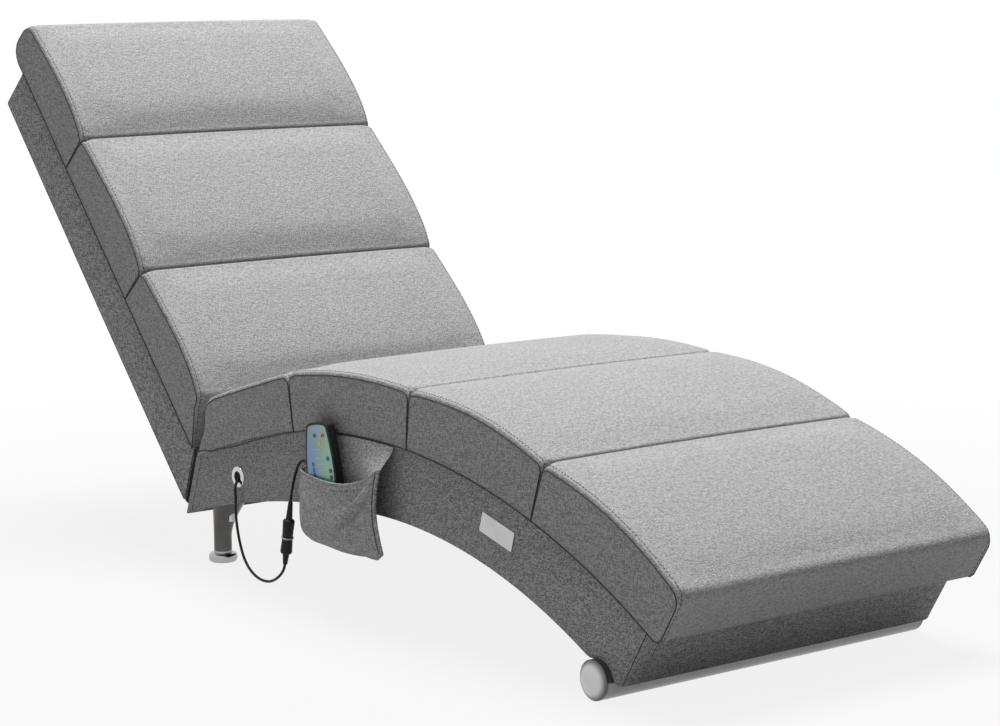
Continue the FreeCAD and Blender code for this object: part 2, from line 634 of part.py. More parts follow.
def pad_wire(x, place, ends, thick, swell, leans, corners):
    """Closed section of a pad at one X: flat under, leaning ends, round top corners, swollen top."""
    start, end = ends
    lean_start, lean_end = leans
    round_start, round_end = corners
    half_way = (start + end) / 2
    flat_share = 1 - math.sqrt(0.5)
    inner_start = start + lean_start
    inner_end = end - lean_end
    low_start = place(start, 0)
    low_end = place(end, 0)
    shoulder_end = place(inner_end, thick - round_end)
    turn_end = place(inner_end - round_end * flat_share, thick - round_end * flat_share)
    top_end = place(inner_end - round_end, thick)
    top_start = place(inner_start + round_start, thick)
    turn_start = place(inner_start + round_start * flat_share, thick - round_start * flat_share)
    shoulder_start = place(inner_start, thick - round_start)
    under = place(half_way, 0)
    bend = (low_start[0] + low_end[0] - 2 * under[0]) ** 2 + (low_start[1] + low_end[1] - 2 * under[1]) ** 2
    floor = arc(x, low_start, under, low_end) if bend > REST_GAP else line(x, low_start, low_end)
    return Part.Wire([
        floor,
        line(x, low_end, shoulder_end),
        arc(x, shoulder_end, turn_end, top_end),
        arc(x, top_end, place(half_way, thick + swell), top_start),
        arc(x, top_start, turn_start, shoulder_start),
        line(x, shoulder_start, low_start),
    ])


def pad(place, ends, thick, swell, lean_fixed=(0.0, 0.0), corners=(PAD_CORNER, PAD_CORNER)):
    """Crowned pad across the seat: sides drawn in along a rolled edge, ends closing to a crease."""
    half = CUSHION_WIDTH / 2
    stations = (
        (-half, -PAD_EDGE_DROP, PAD_NOTCH), (-half + PAD_EDGE_BAND, 0.0, PAD_NOTCH),
        (-half / 2, PAD_CROWN_ACROSS, PAD_CREASE), (0.0, PAD_CROWN_ACROSS, PAD_CREASE),
        (half / 2, PAD_CROWN_ACROSS, PAD_CREASE), (half - PAD_EDGE_BAND, 0.0, PAD_NOTCH),
        (half, -PAD_EDGE_DROP, PAD_NOTCH),
    )
    wires = []
    for x, rise, lean in stations:
        leans = (lean + lean_fixed[0], lean + lean_fixed[1])
        wires.append(pad_wire(x, place, ends, thick + rise, swell, leans, corners))
    return Part.makeLoft(wires, True, True)


def seat_place(along, height):
    return deck_point(along, height + REST_GAP)


def back_place(along, height):
    return back_point(along, height + REST_GAP)


def seat_pad_ends(index):
    """Rear-positive deck lengths of one seat pad, counted from the rear pad."""
    rear = BASE_REAR_ARC - SEAT_REAR_SET - index * SEAT_PITCH
    return (rear - SEAT_PITCH + PAD_END_GAP, rear - PAD_END_GAP)


def back_pad_ends(index):
    lengths = [(BACK_LENGTH + HEAD_OVERHANG) * share for share in BACK_PAD_SHARES]
    start = sum(lengths[:index])
    return (start + PAD_END_GAP, start + lengths[index] - PAD_END_GAP)


def motor_seats():
    """Name, floor point and tilt in degrees of each vibration motor, one under a pad's middle."""
    seats = []
    for name, index in (("seat", 1), ("calf", 3)):
        along = sum(seat_pad_ends(index)) / 2
        seats.append((name, seat_place(along, 0), -math.degrees(along / DECK_RADIUS)))
    for name, index in (("lumbar", 0), ("back", 1), ("neck", 2)):
        along = sum(back_pad_ends(index)) / 2
        seats.append((name, back_place(along, 0), BACK_ANGLE))
    return seats


def motor_block(clearance):
    """Rounded outside of a motor case on its own floor plane, grown by a clearance."""
    long = MOTOR_CASE_LENGTH + 2 * clearance
    wide = MOTOR_CASE_WIDTH + 2 * clearance
    tall = MOTOR_CASE_HEIGHT + clearance
    box = Part.makeBox(long, wide, tall, V(-long / 2, -wide / 2, 0))
    upright = [edge for edge in box.Edges if abs(edge.tangentAt(edge.FirstParameter).z) > 0.9]
    box = box.makeFillet(MOTOR_CASE_CORNER, upright)
    rim = [edge for edge in box.Edges if edge.BoundBox.ZMin > tall / 2]
    return box.makeFillet(MOTOR_CASE_SHOULDER, rim)


def tilted(shape, point, tilt):
    """Shape drawn at the origin, turned about X and set on a point of the side profile."""
    placed = shape.copy()
    placed.Placement = FreeCAD.Placement(at(0, point), FreeCAD.Rotation(X_AXIS, tilt))
    return placed


def make_pads():
    """Four seat pads and three back pads, each with room for its motor."""
    seats = {name: (point, tilt) for name, point, tilt in motor_seats()}

    def hollow(solid, motor):
        point, tilt = seats[motor]
        return solid.cut(tilted(motor_block(MOTOR_PAD_CLEAR), point, tilt))

    rear_corners = (PAD_CORNER, PAD_REAR_CORNER)
    foot_corners = (PAD_FRONT_CORNER, PAD_CORNER)
    head_corners = (PAD_CORNER, HEAD_CORNER)

    def seat_pad(index, crown, *shape):
        return pad(seat_place, seat_pad_ends(index), SEAT_PAD_THICK, crown, *shape)

    def back_pad(index, *shape):
        return pad(back_place, back_pad_ends(index), BACK_PAD_THICK, BACK_PADS_CROWN, *shape)

    save("pad_seat_rear", seat_pad(0, REAR_PADS_CROWN, (0.0, PAD_REAR_LEAN), rear_corners))
    save("pad_seat", hollow(seat_pad(1, REAR_PADS_CROWN), "seat"))
    save("pad_thigh", seat_pad(2, FRONT_PADS_CROWN))
    save("pad_calf", hollow(seat_pad(3, FRONT_PADS_CROWN, (0.0, 0.0), foot_corners), "calf"))
    save("pad_lumbar", hollow(back_pad(0, (LUMBAR_FOOT_RISE, 0.0), foot_corners), "lumbar"))
    save("pad_back", hollow(back_pad(1), "back"))
    head = back_pad(2, (0.0, 0.0), head_corners)
    save("pad_head", hollow(head, "neck"))


def make_motors():
    """Cases and cans fixed on the panels, and the turning weights, which hang heavy side down."""
    axis_height = MOTOR_CASE_HEIGHT / 2
    can_start = MOTOR_CASE_WALL - MOTOR_CASE_LENGTH / 2
    chamber_start = can_start + MOTOR_CAN_LENGTH
    case = motor_block(0)
    can_place = V(can_start, 0, axis_height)
    case = case.cut(rod(can_place, X_AXIS, MOTOR_CAN_DIAMETER / 2 + HOLE_PLAY, MOTOR_CAN_LENGTH))
    chamber = rod(V(chamber_start, 0, axis_height), X_AXIS, WEIGHT_RADIUS + WEIGHT_ROOM, MOTOR_CHAMBER)
    case = case.cut(chamber)
    shaft_start = chamber_start - MOTOR_SHAFT_BITE
    shaft_bore = MOTOR_SHAFT_DIAMETER / 2 + RUN_PLAY
    can = rod(can_place, X_AXIS, MOTOR_CAN_DIAMETER / 2, MOTOR_CAN_LENGTH)
    can = can.cut(rod(V(shaft_start - HOLE_PLAY, 0, axis_height), X_AXIS, shaft_bore, MOTOR_SHAFT_LENGTH))
    weight_start = chamber_start + (MOTOR_CHAMBER - WEIGHT_LENGTH) / 2
    disc = rod(V(weight_start, 0, 0), X_AXIS, WEIGHT_RADIUS, WEIGHT_LENGTH)
    upper = Part.makeBox(WEIGHT_LENGTH, 2 * WEIGHT_RADIUS, WEIGHT_RADIUS, V(weight_start, -WEIGHT_RADIUS, 0))
    hub = rod(V(weight_start, 0, 0), X_AXIS, WEIGHT_HUB_RADIUS, WEIGHT_LENGTH)
    shaft = rod(V(shaft_start, 0, 0), X_AXIS, MOTOR_SHAFT_DIAMETER / 2, MOTOR_SHAFT_LENGTH)
    weight = disc.cut(upper).fuse([hub, shaft]).removeSplitter()
    cases = []
    cans = []
    for name, point, tilt in motor_seats():
        cases.append(tilted(case, point, tilt))
        cans.append(tilted(can, point, tilt))
        slope = math.radians(tilt)
        centre = shift(point, (-math.sin(slope), math.cos(slope)), axis_height)
        save("motor_weight_" + name, tilted(weight, centre, 0))
        print("weight axis", name, [round(value, 3) for value in at(0, centre)])
    save("motor_cases", *cases)
    save("motor_cans", *cans)


def revolve(points, start, direction):
    """Solid of revolution from (distance along the axis, radius) pairs, set on a line."""
    corners = [V(0, radius, along) for along, radius in points]
    face = Part.Face(Part.makePolygon(corners + corners[:1]))
    solid = face.revolve(V(0, 0, 0), Z_AXIS, 360)
    solid.Placement = FreeCAD.Placement(start, FreeCAD.Rotation(Z_AXIS, direction))
    return solid


def make_foot_tube():
    """Round foot tube across the front, its domed caps, saddle blocks and bolts."""
    centre = (TUBE_STATION, TUBE_RADIUS)
    half = TUBE_LENGTH / 2
    bore = TUBE_RADIUS - TUBE_WALL
    tube = rod(at(-half, centre), X_AXIS, TUBE_RADIUS, TUBE_LENGTH)
    tube = tube.cut(rod(at(-half, centre), X_AXIS, bore, TUBE_LENGTH))
    bolts = []
    saddles = []
    caps = []
    inside = base_inside()
    for hand in (-1, 1):
        outward = V(hand, 0, 0)
        dome_radius = (TUBE_RADIUS ** 2 + (CAP_DOME - CAP_RIM) ** 2) / (2 * (CAP_DOME - CAP_RIM))
        ball_centre = at(hand * (half + CAP_DOME - dome_radius), centre)
        ball = Part.makeSphere(dome_radius, ball_centre)
        column = rod(at(hand * half, centre), outward, TUBE_RADIUS, CAP_DOME + CUT_OVERRUN)
        plug = rod(at(hand * half, centre), V(-hand, 0, 0), bore - HOLE_PLAY, CAP_PLUG_LENGTH)
        core = rod(at(hand * half, centre), V(-hand, 0, 0), bore - CAP_PLUG_WALL, CAP_PLUG_LENGTH)
        caps.append(column.common(ball).fuse(plug.cut(core)).removeSplitter())
        saddle_out = min(BOARD_IN, half - SADDLE_SET)
        middle = hand * (saddle_out - SADDLE_WIDTH / 2)
        x_ends = sorted((hand * saddle_out, hand * (saddle_out - SADDLE_WIDTH)))
        station = TUBE_STATION - SADDLE_LENGTH / 2
        span = block(*x_ends, station, station + SADDLE_LENGTH, 0, SADDLE_TOP)
        shank_low = TUBE_DIAMETER - TUBE_WALL - TUBE_BOLT_REACH
        shank_length = SADDLE_TOP - shank_low
        hole = rod(at(middle, (TUBE_STATION, shank_low)), Z_AXIS, BOLT_DIAMETER / 2 + HOLE_PLAY, shank_length)
        saddles.append(inside.common(span).cut(tube_notch(HOLE_PLAY)).cut(hole))
        tube = tube.cut(hole)
        shank = rod(at(middle, (TUBE_STATION, shank_low)), Z_AXIS, BOLT_DIAMETER / 2, shank_length)
        head = rod(at(middle, (TUBE_STATION, SADDLE_TOP)), Z_AXIS, BOLT_HEAD_DIAMETER / 2, BOLT_HEAD_HEIGHT)
        bolts.append(shank.fuse(head).removeSplitter())
    save("foot_tube", tube)
    save("foot_caps", *caps)
    save("tube_saddles", *saddles)
    save("tube_bolts", *bolts)


def leg_top_point():
    return on_circle(ARCH_REAR_CENTRE, ARCH_REAR_RADIUS, LEG_STATION - LEG_TOP_SHIFT)


def leg_stud_tool(hand, play):
    """Upright stud of one rear leg, grown by a play."""
    station, top = leg_top_point()
    start = at(hand * LEG_X, (station, top - LEG_STUD_IN_LEG))
    return rod(start, Z_AXIS, LEG_STUD_DIAMETER / 2 + play, LEG_STUD_LENGTH)


def make_rear_legs():
    """Swept-back cast legs on round feet, each held by a stud in its corner block."""
    rear_reach = -LEG_TOP_DIAMETER
    half = CUSHION_WIDTH / 2
    envelope = slab(base_outline(0, rear_reach, -CUT_OVERRUN, -HOLE_PLAY), -half, half)
    studs = []
    for name, hand in (("rear_leg_left", -1), ("rear_leg_right", 1)):
        x = hand * LEG_X
        disc = rod(at(x, (LEG_STATION, 0)), Z_AXIS, LEG_DISC_DIAMETER / 2, LEG_DISC_HEIGHT)
        disc = disc.makeFillet(LEG_DISC_ROUND, disc.Edges)
        post = rod(at(x, (LEG_STATION, LEG_DISC_HEIGHT - LEG_DISC_ROUND)), Z_AXIS, LEG_POST_DIAMETER / 2,
                   LEG_POST_HEIGHT - LEG_DISC_HEIGHT + LEG_DISC_ROUND)
        rings = []
        for bend, flare in zip(LEG_BEND_SHARES, LEG_FLARE_SHARES):
            height = LEG_POST_HEIGHT + bend * (LEG_TOP_HEIGHT - LEG_POST_HEIGHT)
            radius = (LEG_POST_DIAMETER + flare * (LEG_TOP_DIAMETER - LEG_POST_DIAMETER)) / 2
            centre = at(x, (LEG_STATION - flare * LEG_TOP_SHIFT, height))
            rings.append(Part.Wire(Part.makeCircle(radius, centre, Z_AXIS)))
        neck = Part.makeLoft(rings, True, False)
        leg = neck.cut(envelope).fuse([post, disc]).removeSplitter()
        save(name, leg.cut(leg_stud_tool(hand, HOLE_PLAY)))
        studs.append(leg_stud_tool(hand, 0))
    save("leg_studs", *studs)


def make_eyelet():
    """Flanged cable eyelet through the left side, with its washer inside."""
    centre = (EYELET_STATION, EYELET_HEIGHT)
    barrel_radius = EYELET_BORE / 2 + EYELET_BARREL_WALL
    flange = rod(at(-BASE_HALF - EYELET_FLANGE, centre), X_AXIS, EYELET_OUTER / 2, EYELET_FLANGE)
    outer_edge = [edge for edge in flange.Edges if edge.BoundBox.XMax < -BASE_HALF - EYELET_FLANGE / 2]
    flange = flange.makeFillet(EYELET_FLANGE / 2, [edge for edge in outer_edge if edge.Closed])
    barrel = rod(at(-BASE_HALF, centre), X_AXIS, barrel_radius, BASE_HALF - BOARD_IN + EYELET_WASHER_THICK)
    save("eyelet", flange.fuse(barrel).removeSplitter().cut(eyelet_hole(EYELET_BORE / 2)))
    washer = rod(at(-BOARD_IN, centre), X_AXIS, EYELET_OUTER / 2, EYELET_WASHER_THICK)
    save("eyelet_washer", washer.cut(eyelet_hole(barrel_radius + HOLE_PLAY)))


def inlet_x():
    return -BOARD_IN + BOX_DEEP / 2


def make_control_box():
    """Wiring box on the inside of the left board: tray, lid, circuit board and power inlet."""
    low = BOX_HEIGHT_CENTRE - BOX_TALL / 2
    start = BOX_STATION - BOX_LENGTH / 2
    tray_deep = BOX_DEEP - BOX_LID_THICK
    outer = block(-BOARD_IN, -BOARD_IN + BOX_DEEP, start, start + BOX_LENGTH, low, low + BOX_TALL)
    outer = outer.makeFillet(BOX_CORNER, [edge for edge in outer.Edges if edge.BoundBox.XLength > tray_deep])
    tray_part = block(-BOARD_IN, -BOARD_IN + tray_deep, start, start + BOX_LENGTH, low, low + BOX_TALL)
    room = block(-BOARD_IN + BOX_WALL, -BOARD_IN + tray_deep, start + BOX_WALL, start + BOX_LENGTH - BOX_WALL,
                 low + BOX_WALL, low + BOX_TALL - BOX_WALL)
    tray = outer.common(tray_part).cut(room)
    inlet_start = at(inlet_x(), (BOX_STATION - INLET_SHIFT, low))
    tray = tray.cut(rod(inlet_start, Z_AXIS, INLET_DIAMETER / 2 + HOLE_PLAY, BOX_WALL))
    posts = []
    for station in (start + BOX_CORNER + BOX_WALL, start + BOX_LENGTH - BOX_CORNER - BOX_WALL):
        for height in (low + BOX_CORNER + BOX_WALL, low + BOX_TALL - BOX_CORNER - BOX_WALL):
            foot = at(-BOARD_IN, (station, height))
            posts.append(rod(foot, X_AXIS, BOX_CORNER / 2, BOX_WALL + BOX_BOARD_LIFT))
    save("control_box", tray.fuse(posts).removeSplitter())
    save("control_box_lid", outer.cut(tray_part))
    board_x = -BOARD_IN + BOX_WALL + BOX_BOARD_LIFT
    edge = BOX_WALL + REST_GAP
    board = block(board_x, board_x + BOX_BOARD_THICK, start + edge, start + BOX_LENGTH - edge,
                  low + edge, low + BOX_TALL - edge)
    clear = rod(inlet_start, Z_AXIS, INLET_DIAMETER / 2 + REST_GAP, INLET_DIAMETER)
    save("control_board", board.cut(clear))
    down = V(0, 0, -1)
    barrel = rod(inlet_start + V(0, 0, BOX_WALL), down, INLET_DIAMETER / 2, BOX_WALL + INLET_LENGTH)
    flange = rod(inlet_start, down, INLET_FLANGE_DIAMETER / 2, INLET_FLANGE)
    socket = rod(inlet_start + V(0, 0, -INLET_LENGTH), Z_AXIS, INLET_BORE / 2, INLET_DEPTH)
    save("power_inlet", barrel.fuse(flange).removeSplitter().cut(socket))


def pocket_section(level, depth, width_share, inset):
    """Flat wire of the pocket's front sheet at one height; inset draws it in for the inner face."""
    back_x = -BASE_HALF - POCKET_SHEET + (CUT_OVERRUN if inset else 0)
    rim_x = -BASE_HALF - POCKET_SHEET
    middle = (POCKET_LEFT + POCKET_RIGHT) / 2
    reach = depth - inset

    def across(station):
        side = 1 if station > middle else -1
        return middle + (station - middle) * width_share - side * inset

    def spot(x, station):
        return at(x, (station, level))

    left, right = across(POCKET_LEFT), across(POCKET_RIGHT)
    front_left, front_right = across(POCKET_FRONT_LEFT), across(POCKET_FRONT_RIGHT)
    bow = math.sqrt(0.5)
    corner_left = spot(rim_x - reach * bow, front_left + (left - front_left) * bow)
    corner_right = spot(rim_x - reach * bow, front_right + (right - front_right) * bow)
    belly = spot(rim_x - reach - POCKET_BELLY, middle)
    edges = [
        Part.LineSegment(spot(back_x, right), spot(back_x, left)).toShape(),
        Part.Arc(spot(rim_x, left), corner_left, spot(rim_x - reach, front_left)).toShape(),
        Part.Arc(spot(rim_x - reach, front_left), belly, spot(rim_x - reach, front_right)).toShape(),
        Part.Arc(spot(rim_x - reach, front_right), corner_right, spot(rim_x, right)).toShape(),
    ]
    if inset:
        edges.insert(1, Part.LineSegment(spot(back_x, left), spot(rim_x, left)).toShape())
        edges.append(Part.LineSegment(spot(rim_x, right), spot(back_x, right)).toShape())
    return Part.Wire(edges)


def make_pocket():
    """Cloth pocket on the left side: a flat back sheet and a baggy front with a drooping mouth."""
    outer_wires = []
    inner_wires = []
    for level, depth_share, width_share in zip(POCKET_LEVELS, POCKET_DEPTH_SHARES, POCKET_WIDTH_SHARES):
        depth = POCKET_BULGE * depth_share
        outer_wires.append(pocket_section(level, depth, width_share, 0))
        inner_wires.append(pocket_section(level + POCKET_SHEET, depth, width_share, POCKET_SHEET))
    bag = Part.makeLoft(outer_wires, True, True).cut(Part.makeLoft(inner_wires, True, True))
    top = POCKET_LEVELS[-1] + CUT_OVERRUN

    def mouth(x):
        left = (POCKET_LEFT + CUT_OVERRUN, POCKET_MOUTH_LEFT)
        right = (POCKET_RIGHT - CUT_OVERRUN, POCKET_MOUTH_RIGHT)
        middle = ((POCKET_LEFT + POCKET_RIGHT) / 2, POCKET_MOUTH_MIDDLE)
        high_left, high_right = (left[0], top), (right[0], top)
        return [arc(x, left, middle, right), line(x, right, high_right),
                line(x, high_right, high_left), line(x, high_left, left)]
    reach = BASE_HALF + POCKET_SHEET + POCKET_BULGE + POCKET_BELLY + CUT_OVERRUN
    save("pocket_front", bag.cut(slab(mouth, -reach, -BASE_HALF + 2 * CUT_OVERRUN)))

    top_radius = DECK_RADIUS - POCKET_TOP_DROP
    top_left = on_circle(DECK_CENTRE, top_radius, POCKET_LEFT)
    top_right = on_circle(DECK_CENTRE, top_radius, POCKET_RIGHT_TOP)
    top_middle = on_circle(DECK_CENTRE, top_radius, (POCKET_LEFT + POCKET_RIGHT_TOP) / 2)
    low_left, low_right = (POCKET_LEFT, POCKET_BOTTOM), (POCKET_RIGHT, POCKET_BOTTOM)

    def sheet(x):
        return [arc(x, top_left, top_middle, top_right), line(x, top_right, low_right),
                line(x, low_right, low_left), line(x, low_left, top_left)]
    save("pocket_back", slab(sheet, -BASE_HALF - POCKET_SHEET, -BASE_HALF))


def make_plate():
    """Bare metal plate on the left side of the base."""
    plate = Part.makeBox(PLATE_THICK, PLATE_LENGTH, PLATE_TALL, V(0, -PLATE_LENGTH / 2, -PLATE_TALL / 2))
    corners = [edge for edge in plate.Edges if edge.BoundBox.XLength > PLATE_THICK / 2]
    plate = plate.makeFillet(PLATE_CORNER, corners)
    place = at(-BASE_HALF - PLATE_THICK, (PLATE_STATION, PLATE_HEIGHT))
    plate.Placement = FreeCAD.Placement(place, FreeCAD.Rotation(X_AXIS, PLATE_SLOPE))
    save("bare_plate", plate)


def handset_outline(x, inset):
    """Closed face of the handset at one X, drawn in by inset, upright at the origin."""
    foot = HANDSET_FOOT_WIDTH / 2 - inset
    waist = HANDSET_WAIST / 2 - inset
    top = HANDSET_TOP_WIDTH / 2 - inset
    low, high = inset, HANDSET_LENGTH - inset
    girth = HANDSET_LENGTH * HANDSET_WAIST_SHARE
    spots = [V(x, -foot, low), V(x, -waist, girth), V(x, -top, high), V(x, 0, high + HANDSET_END_BULGE),
             V(x, top, high), V(x, waist, girth), V(x, foot, low), V(x, 0, low - HANDSET_END_BULGE)]
    loop = spots + spots[:1]
    return Part.Face(Part.Wire([Part.Arc(*loop[i:i + 3]).toShape() for i in range(0, len(spots), 2)]))


def handset_block(x_from, x_to, inset):
    """Handset-shaped block between two X planes with round corners."""
    solid = handset_outline(x_from, inset).extrude(V(x_to - x_from, 0, 0))
    depth = abs(x_to - x_from)
    corners = [edge for edge in solid.Edges if abs(edge.BoundBox.XLength - depth) < HOLE_PLAY]
    corners = [edge for edge in corners if edge.BoundBox.YLength + edge.BoundBox.ZLength < HOLE_PLAY]
    return solid.makeFillet(HANDSET_CORNER, corners)


def in_pocket(shape):
    """Handset piece leaned and set in the pocket, its rear face at X zero before."""
    placed = shape.copy()
    rear_x = -CUSHION_WIDTH / 2 - HANDSET_SIDE_CLEAR
    base = at(rear_x, (HANDSET_STATION, HANDSET_BOTTOM))
    placed.Placement = FreeCAD.Placement(base, FreeCAD.Rotation(X_AXIS, -HANDSET_LEAN))
    return placed


def make_handset():
    """Handset shells, circuit board, face overlay and six sprung buttons; the face looks to -X."""
    split = -HANDSET_REAR_DEPTH
    face = split - HANDSET_FRONT_DEPTH
    rear = handset_block(0, split, 0)
    flat = [edge for edge in rear.Edges if edge.BoundBox.XLength < HOLE_PLAY]
    rim = [edge for edge in flat if abs(edge.BoundBox.XMax) < HOLE_PLAY]
    rear = rear.makeFillet(HANDSET_EDGE, rim)
    rear = rear.cut(handset_block(-HANDSET_WALL, split, HANDSET_WALL))
    front = handset_block(split, face, 0)
    room_front = face + HANDSET_WALL
    front = front.cut(handset_block(split, room_front, HANDSET_WALL))
    overlay = handset_block(face, face - OVERLAY_THICK, OVERLAY_INSET)
    board_face = room_front + BUTTON_FLANGE_THICK + SWITCH_GAP
    board = handset_block(board_face + HANDSET_BOARD_THICK, board_face, HANDSET_WALL + REST_GAP)
    hole_radius = BUTTON_DIAMETER / 2 + BUTTON_PLAY
    cap_top = face - OVERLAY_THICK - BUTTON_PROUD
    out = V(-1, 0, 0)
    for name, (across, up) in BUTTON_PLACES.items():
        hole = rod(V(room_front, across, up), out, hole_radius, HANDSET_WALL + OVERLAY_THICK)
        front = front.cut(hole)
        overlay = overlay.cut(hole)
        cap = rod(V(room_front, across, up), out, BUTTON_DIAMETER / 2, room_front - cap_top)
        rim = [edge for edge in cap.Edges if edge.Closed and edge.BoundBox.XMax < cap_top + HOLE_PLAY]
        cap = cap.makeFillet(BUTTON_PROUD / 2, rim)
        flange = rod(V(room_front, across, up), X_AXIS, hole_radius + BUTTON_FLANGE / 2, BUTTON_FLANGE_THICK)
        save(name, in_pocket(cap.fuse(flange).removeSplitter()))
    save("handset_rear_case", in_pocket(rear))
    save("handset_front_case", in_pocket(front))
    save("handset_overlay", in_pocket(overlay))
    save("handset_board", in_pocket(board))


def lift_axis():
    """Direction along which plug and handset lift, as a vector."""
    lean = math.radians(CONNECTOR_LEAN)
    return V(0, -math.sin(lean), math.cos(lean))


def connector_point(down):
    """Point on the connector's axis, measured down from the tip of the plug's boot."""
    top = at(-BASE_HALF - CONNECTOR_OUT, (CONNECTOR_TOP_STATION, CONNECTOR_TOP_HEIGHT))
    return top - lift_axis() * down


def make_connector():
    """Moulded plug on the handset lead, socket and lock ring on the chair lead."""
    lead = LEAD_DIAMETER / 2
    body = CONNECTOR_DIAMETER / 2
    neck = CONNECTOR_NECK / 2
    taper = (body - BOOT_ROOT / 2) / 2
    down = lift_axis() * -1
    plug_end = PLUG_BOOT + PLUG_BODY
    plug_points = [
        (0, 0), (0, BOOT_TIP / 2), (PLUG_BOOT, BOOT_ROOT / 2), (PLUG_BOOT + taper, body - taper / 2),
        (PLUG_BOOT + 2 * taper, body), (plug_end, neck), (plug_end, PIN_DIAMETER / 2),
        (plug_end + PIN_LENGTH, PIN_DIAMETER / 2), (plug_end + PIN_LENGTH, 0),
    ]
    plug = revolve(plug_points, connector_point(0), down)
    save("plug", plug.cut(rod(connector_point(0), down, lead, LEAD_BITE)))
    ring_start = connector_point(plug_end)
    bore = PIN_DIAMETER / 2 + PIN_PLAY
    ring = rod(ring_start, down, RING_DIAMETER / 2, RING_LENGTH).cut(rod(ring_start, down, bore, RING_LENGTH))
    save("coupling_ring", ring)
    length = SOCKET_BODY + SOCKET_BOOT
    socket_points = [
        (0, 0), (0, neck), (SOCKET_BODY - 2 * taper, body), (SOCKET_BODY - taper, body - taper / 2),
        (SOCKET_BODY, BOOT_ROOT / 2), (length, BOOT_TIP / 2), (length, 0),
    ]
    start = connector_point(plug_end + RING_LENGTH)
    socket = revolve(socket_points, start, down)
    socket = socket.cut(rod(start, down, bore, PIN_LENGTH - RING_LENGTH + PIN_PLAY))
    end = connector_point(plug_end + RING_LENGTH + length)
    save("socket", socket.cut(rod(end, lift_axis(), lead, LEAD_BITE)))
    return end


def lead_tube(name, points):
    """Round lead along straight runs joined by tangent arcs as large as the runs allow."""
    edges = []
    radii = []
    start = points[0]
    for before, corner, after in zip(points, points[1:], points[2:]):
        run_in, run_out = corner - before, after - corner
        into, out_of = V(run_in).normalize(), V(run_out).normalize()
        turn = into.getAngle(out_of)
        trim = LEAD_TURN_SHARE * min(run_in.Length, run_out.Length)
        radii.append(trim / math.tan(turn / 2))
        arc_start, arc_end = corner - into * trim, corner + out_of * trim
        bisector = (out_of - into).normalize()
        sag = radii[-1] * (1 / math.cos(turn / 2) - 1)
        edges.append(Part.LineSegment(start, arc_start).toShape())
        edges.append(Part.Arc(arc_start, corner + bisector * sag, arc_end).toShape())
        start = arc_end
    edges.append(Part.LineSegment(start, points[-1]).toShape())
    path = Part.Wire(edges)
    first = V(points[1] - points[0]).normalize()
    profile = Part.Wire(Part.makeCircle(LEAD_DIAMETER / 2, points[0], first))
    tube = path.makePipeShell([profile], True, False)
    ideal = math.pi * LEAD_DIAMETER ** 2 / 4 * path.Length
    print(name, "length", round(path.Length, 1), "least radius", round(min(radii), 1),
          "volume share", round(tube.Volume / ideal, 4))
    save(name, tube)


def make_leads(socket_end):
    """Chair lead from the box to the socket, and handset lead from the handset to the plug."""
    grip = lift_axis() * LEAD_BITE
    chair = route_vectors(CHAIR_LEAD_ROUTE) + [socket_end - grip, socket_end + grip]
    lead_tube("chair_lead", chair)
    lean = math.radians(HANDSET_LEAN)
    exit_shift = HANDSET_EXIT_ACROSS
    foot = (HANDSET_STATION + exit_shift * math.cos(lean), HANDSET_BOTTOM - exit_shift * math.sin(lean))
    exit_point = at(-BASE_HALF - HANDSET_LEAD_ROUTE[0][0], foot)
    exit_point.z -= HANDSET_END_BULGE
    top = connector_point(0)
    handset = [exit_point] + route_vectors(HANDSET_LEAD_ROUTE) + [top + grip, top - grip]
    lead_tube("handset_lead", handset)


def main():
    make_base()
    make_back()
    make_ties()
    make_pads()
    make_motors()
    make_foot_tube()
    make_rear_legs()
    make_eyelet()
    make_control_box()
    make_pocket()
    make_plate()
    make_handset()
    make_leads(make_connector())
    print("station centre", round(STATION_CENTRE, 3), "lift axis", lift_axis())


main()
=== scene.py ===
"""Looks of an upholstered massage chaise: sewn pads on an arched base, side pocket, wired handset.

Lengths are in millimetres in the shape code and become metres where a point enters a mesh.
A side profile is drawn as (station, height) pairs; the station runs along Y from the foot tube.
"""
from __future__ import annotations

import itertools
import json
import logging
import math
from dataclasses import dataclass, field
from enum import Enum
from typing import Callable, Sequence

import bmesh
import bpy
from mathutils import Matrix, Vector, noise

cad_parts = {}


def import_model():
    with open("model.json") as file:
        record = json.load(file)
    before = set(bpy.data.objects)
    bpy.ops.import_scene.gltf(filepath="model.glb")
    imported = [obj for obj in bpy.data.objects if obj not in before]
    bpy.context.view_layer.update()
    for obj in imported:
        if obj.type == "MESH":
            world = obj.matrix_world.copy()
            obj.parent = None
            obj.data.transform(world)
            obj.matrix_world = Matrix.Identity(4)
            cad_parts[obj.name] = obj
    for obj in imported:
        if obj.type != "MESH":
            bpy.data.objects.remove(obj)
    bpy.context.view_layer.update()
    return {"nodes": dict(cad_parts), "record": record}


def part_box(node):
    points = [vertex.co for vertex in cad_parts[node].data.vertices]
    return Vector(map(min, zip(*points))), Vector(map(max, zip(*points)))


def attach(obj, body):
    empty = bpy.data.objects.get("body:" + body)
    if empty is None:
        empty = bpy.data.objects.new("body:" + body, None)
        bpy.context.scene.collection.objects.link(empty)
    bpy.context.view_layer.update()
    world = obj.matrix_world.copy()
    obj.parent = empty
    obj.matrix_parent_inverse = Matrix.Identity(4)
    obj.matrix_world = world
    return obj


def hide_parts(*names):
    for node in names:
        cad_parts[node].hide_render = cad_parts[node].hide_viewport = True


log = logging.getLogger("chaise")

Pair = tuple[float, float]
Triple = tuple[float, float, float]
Place = Callable[[float, float], Pair]

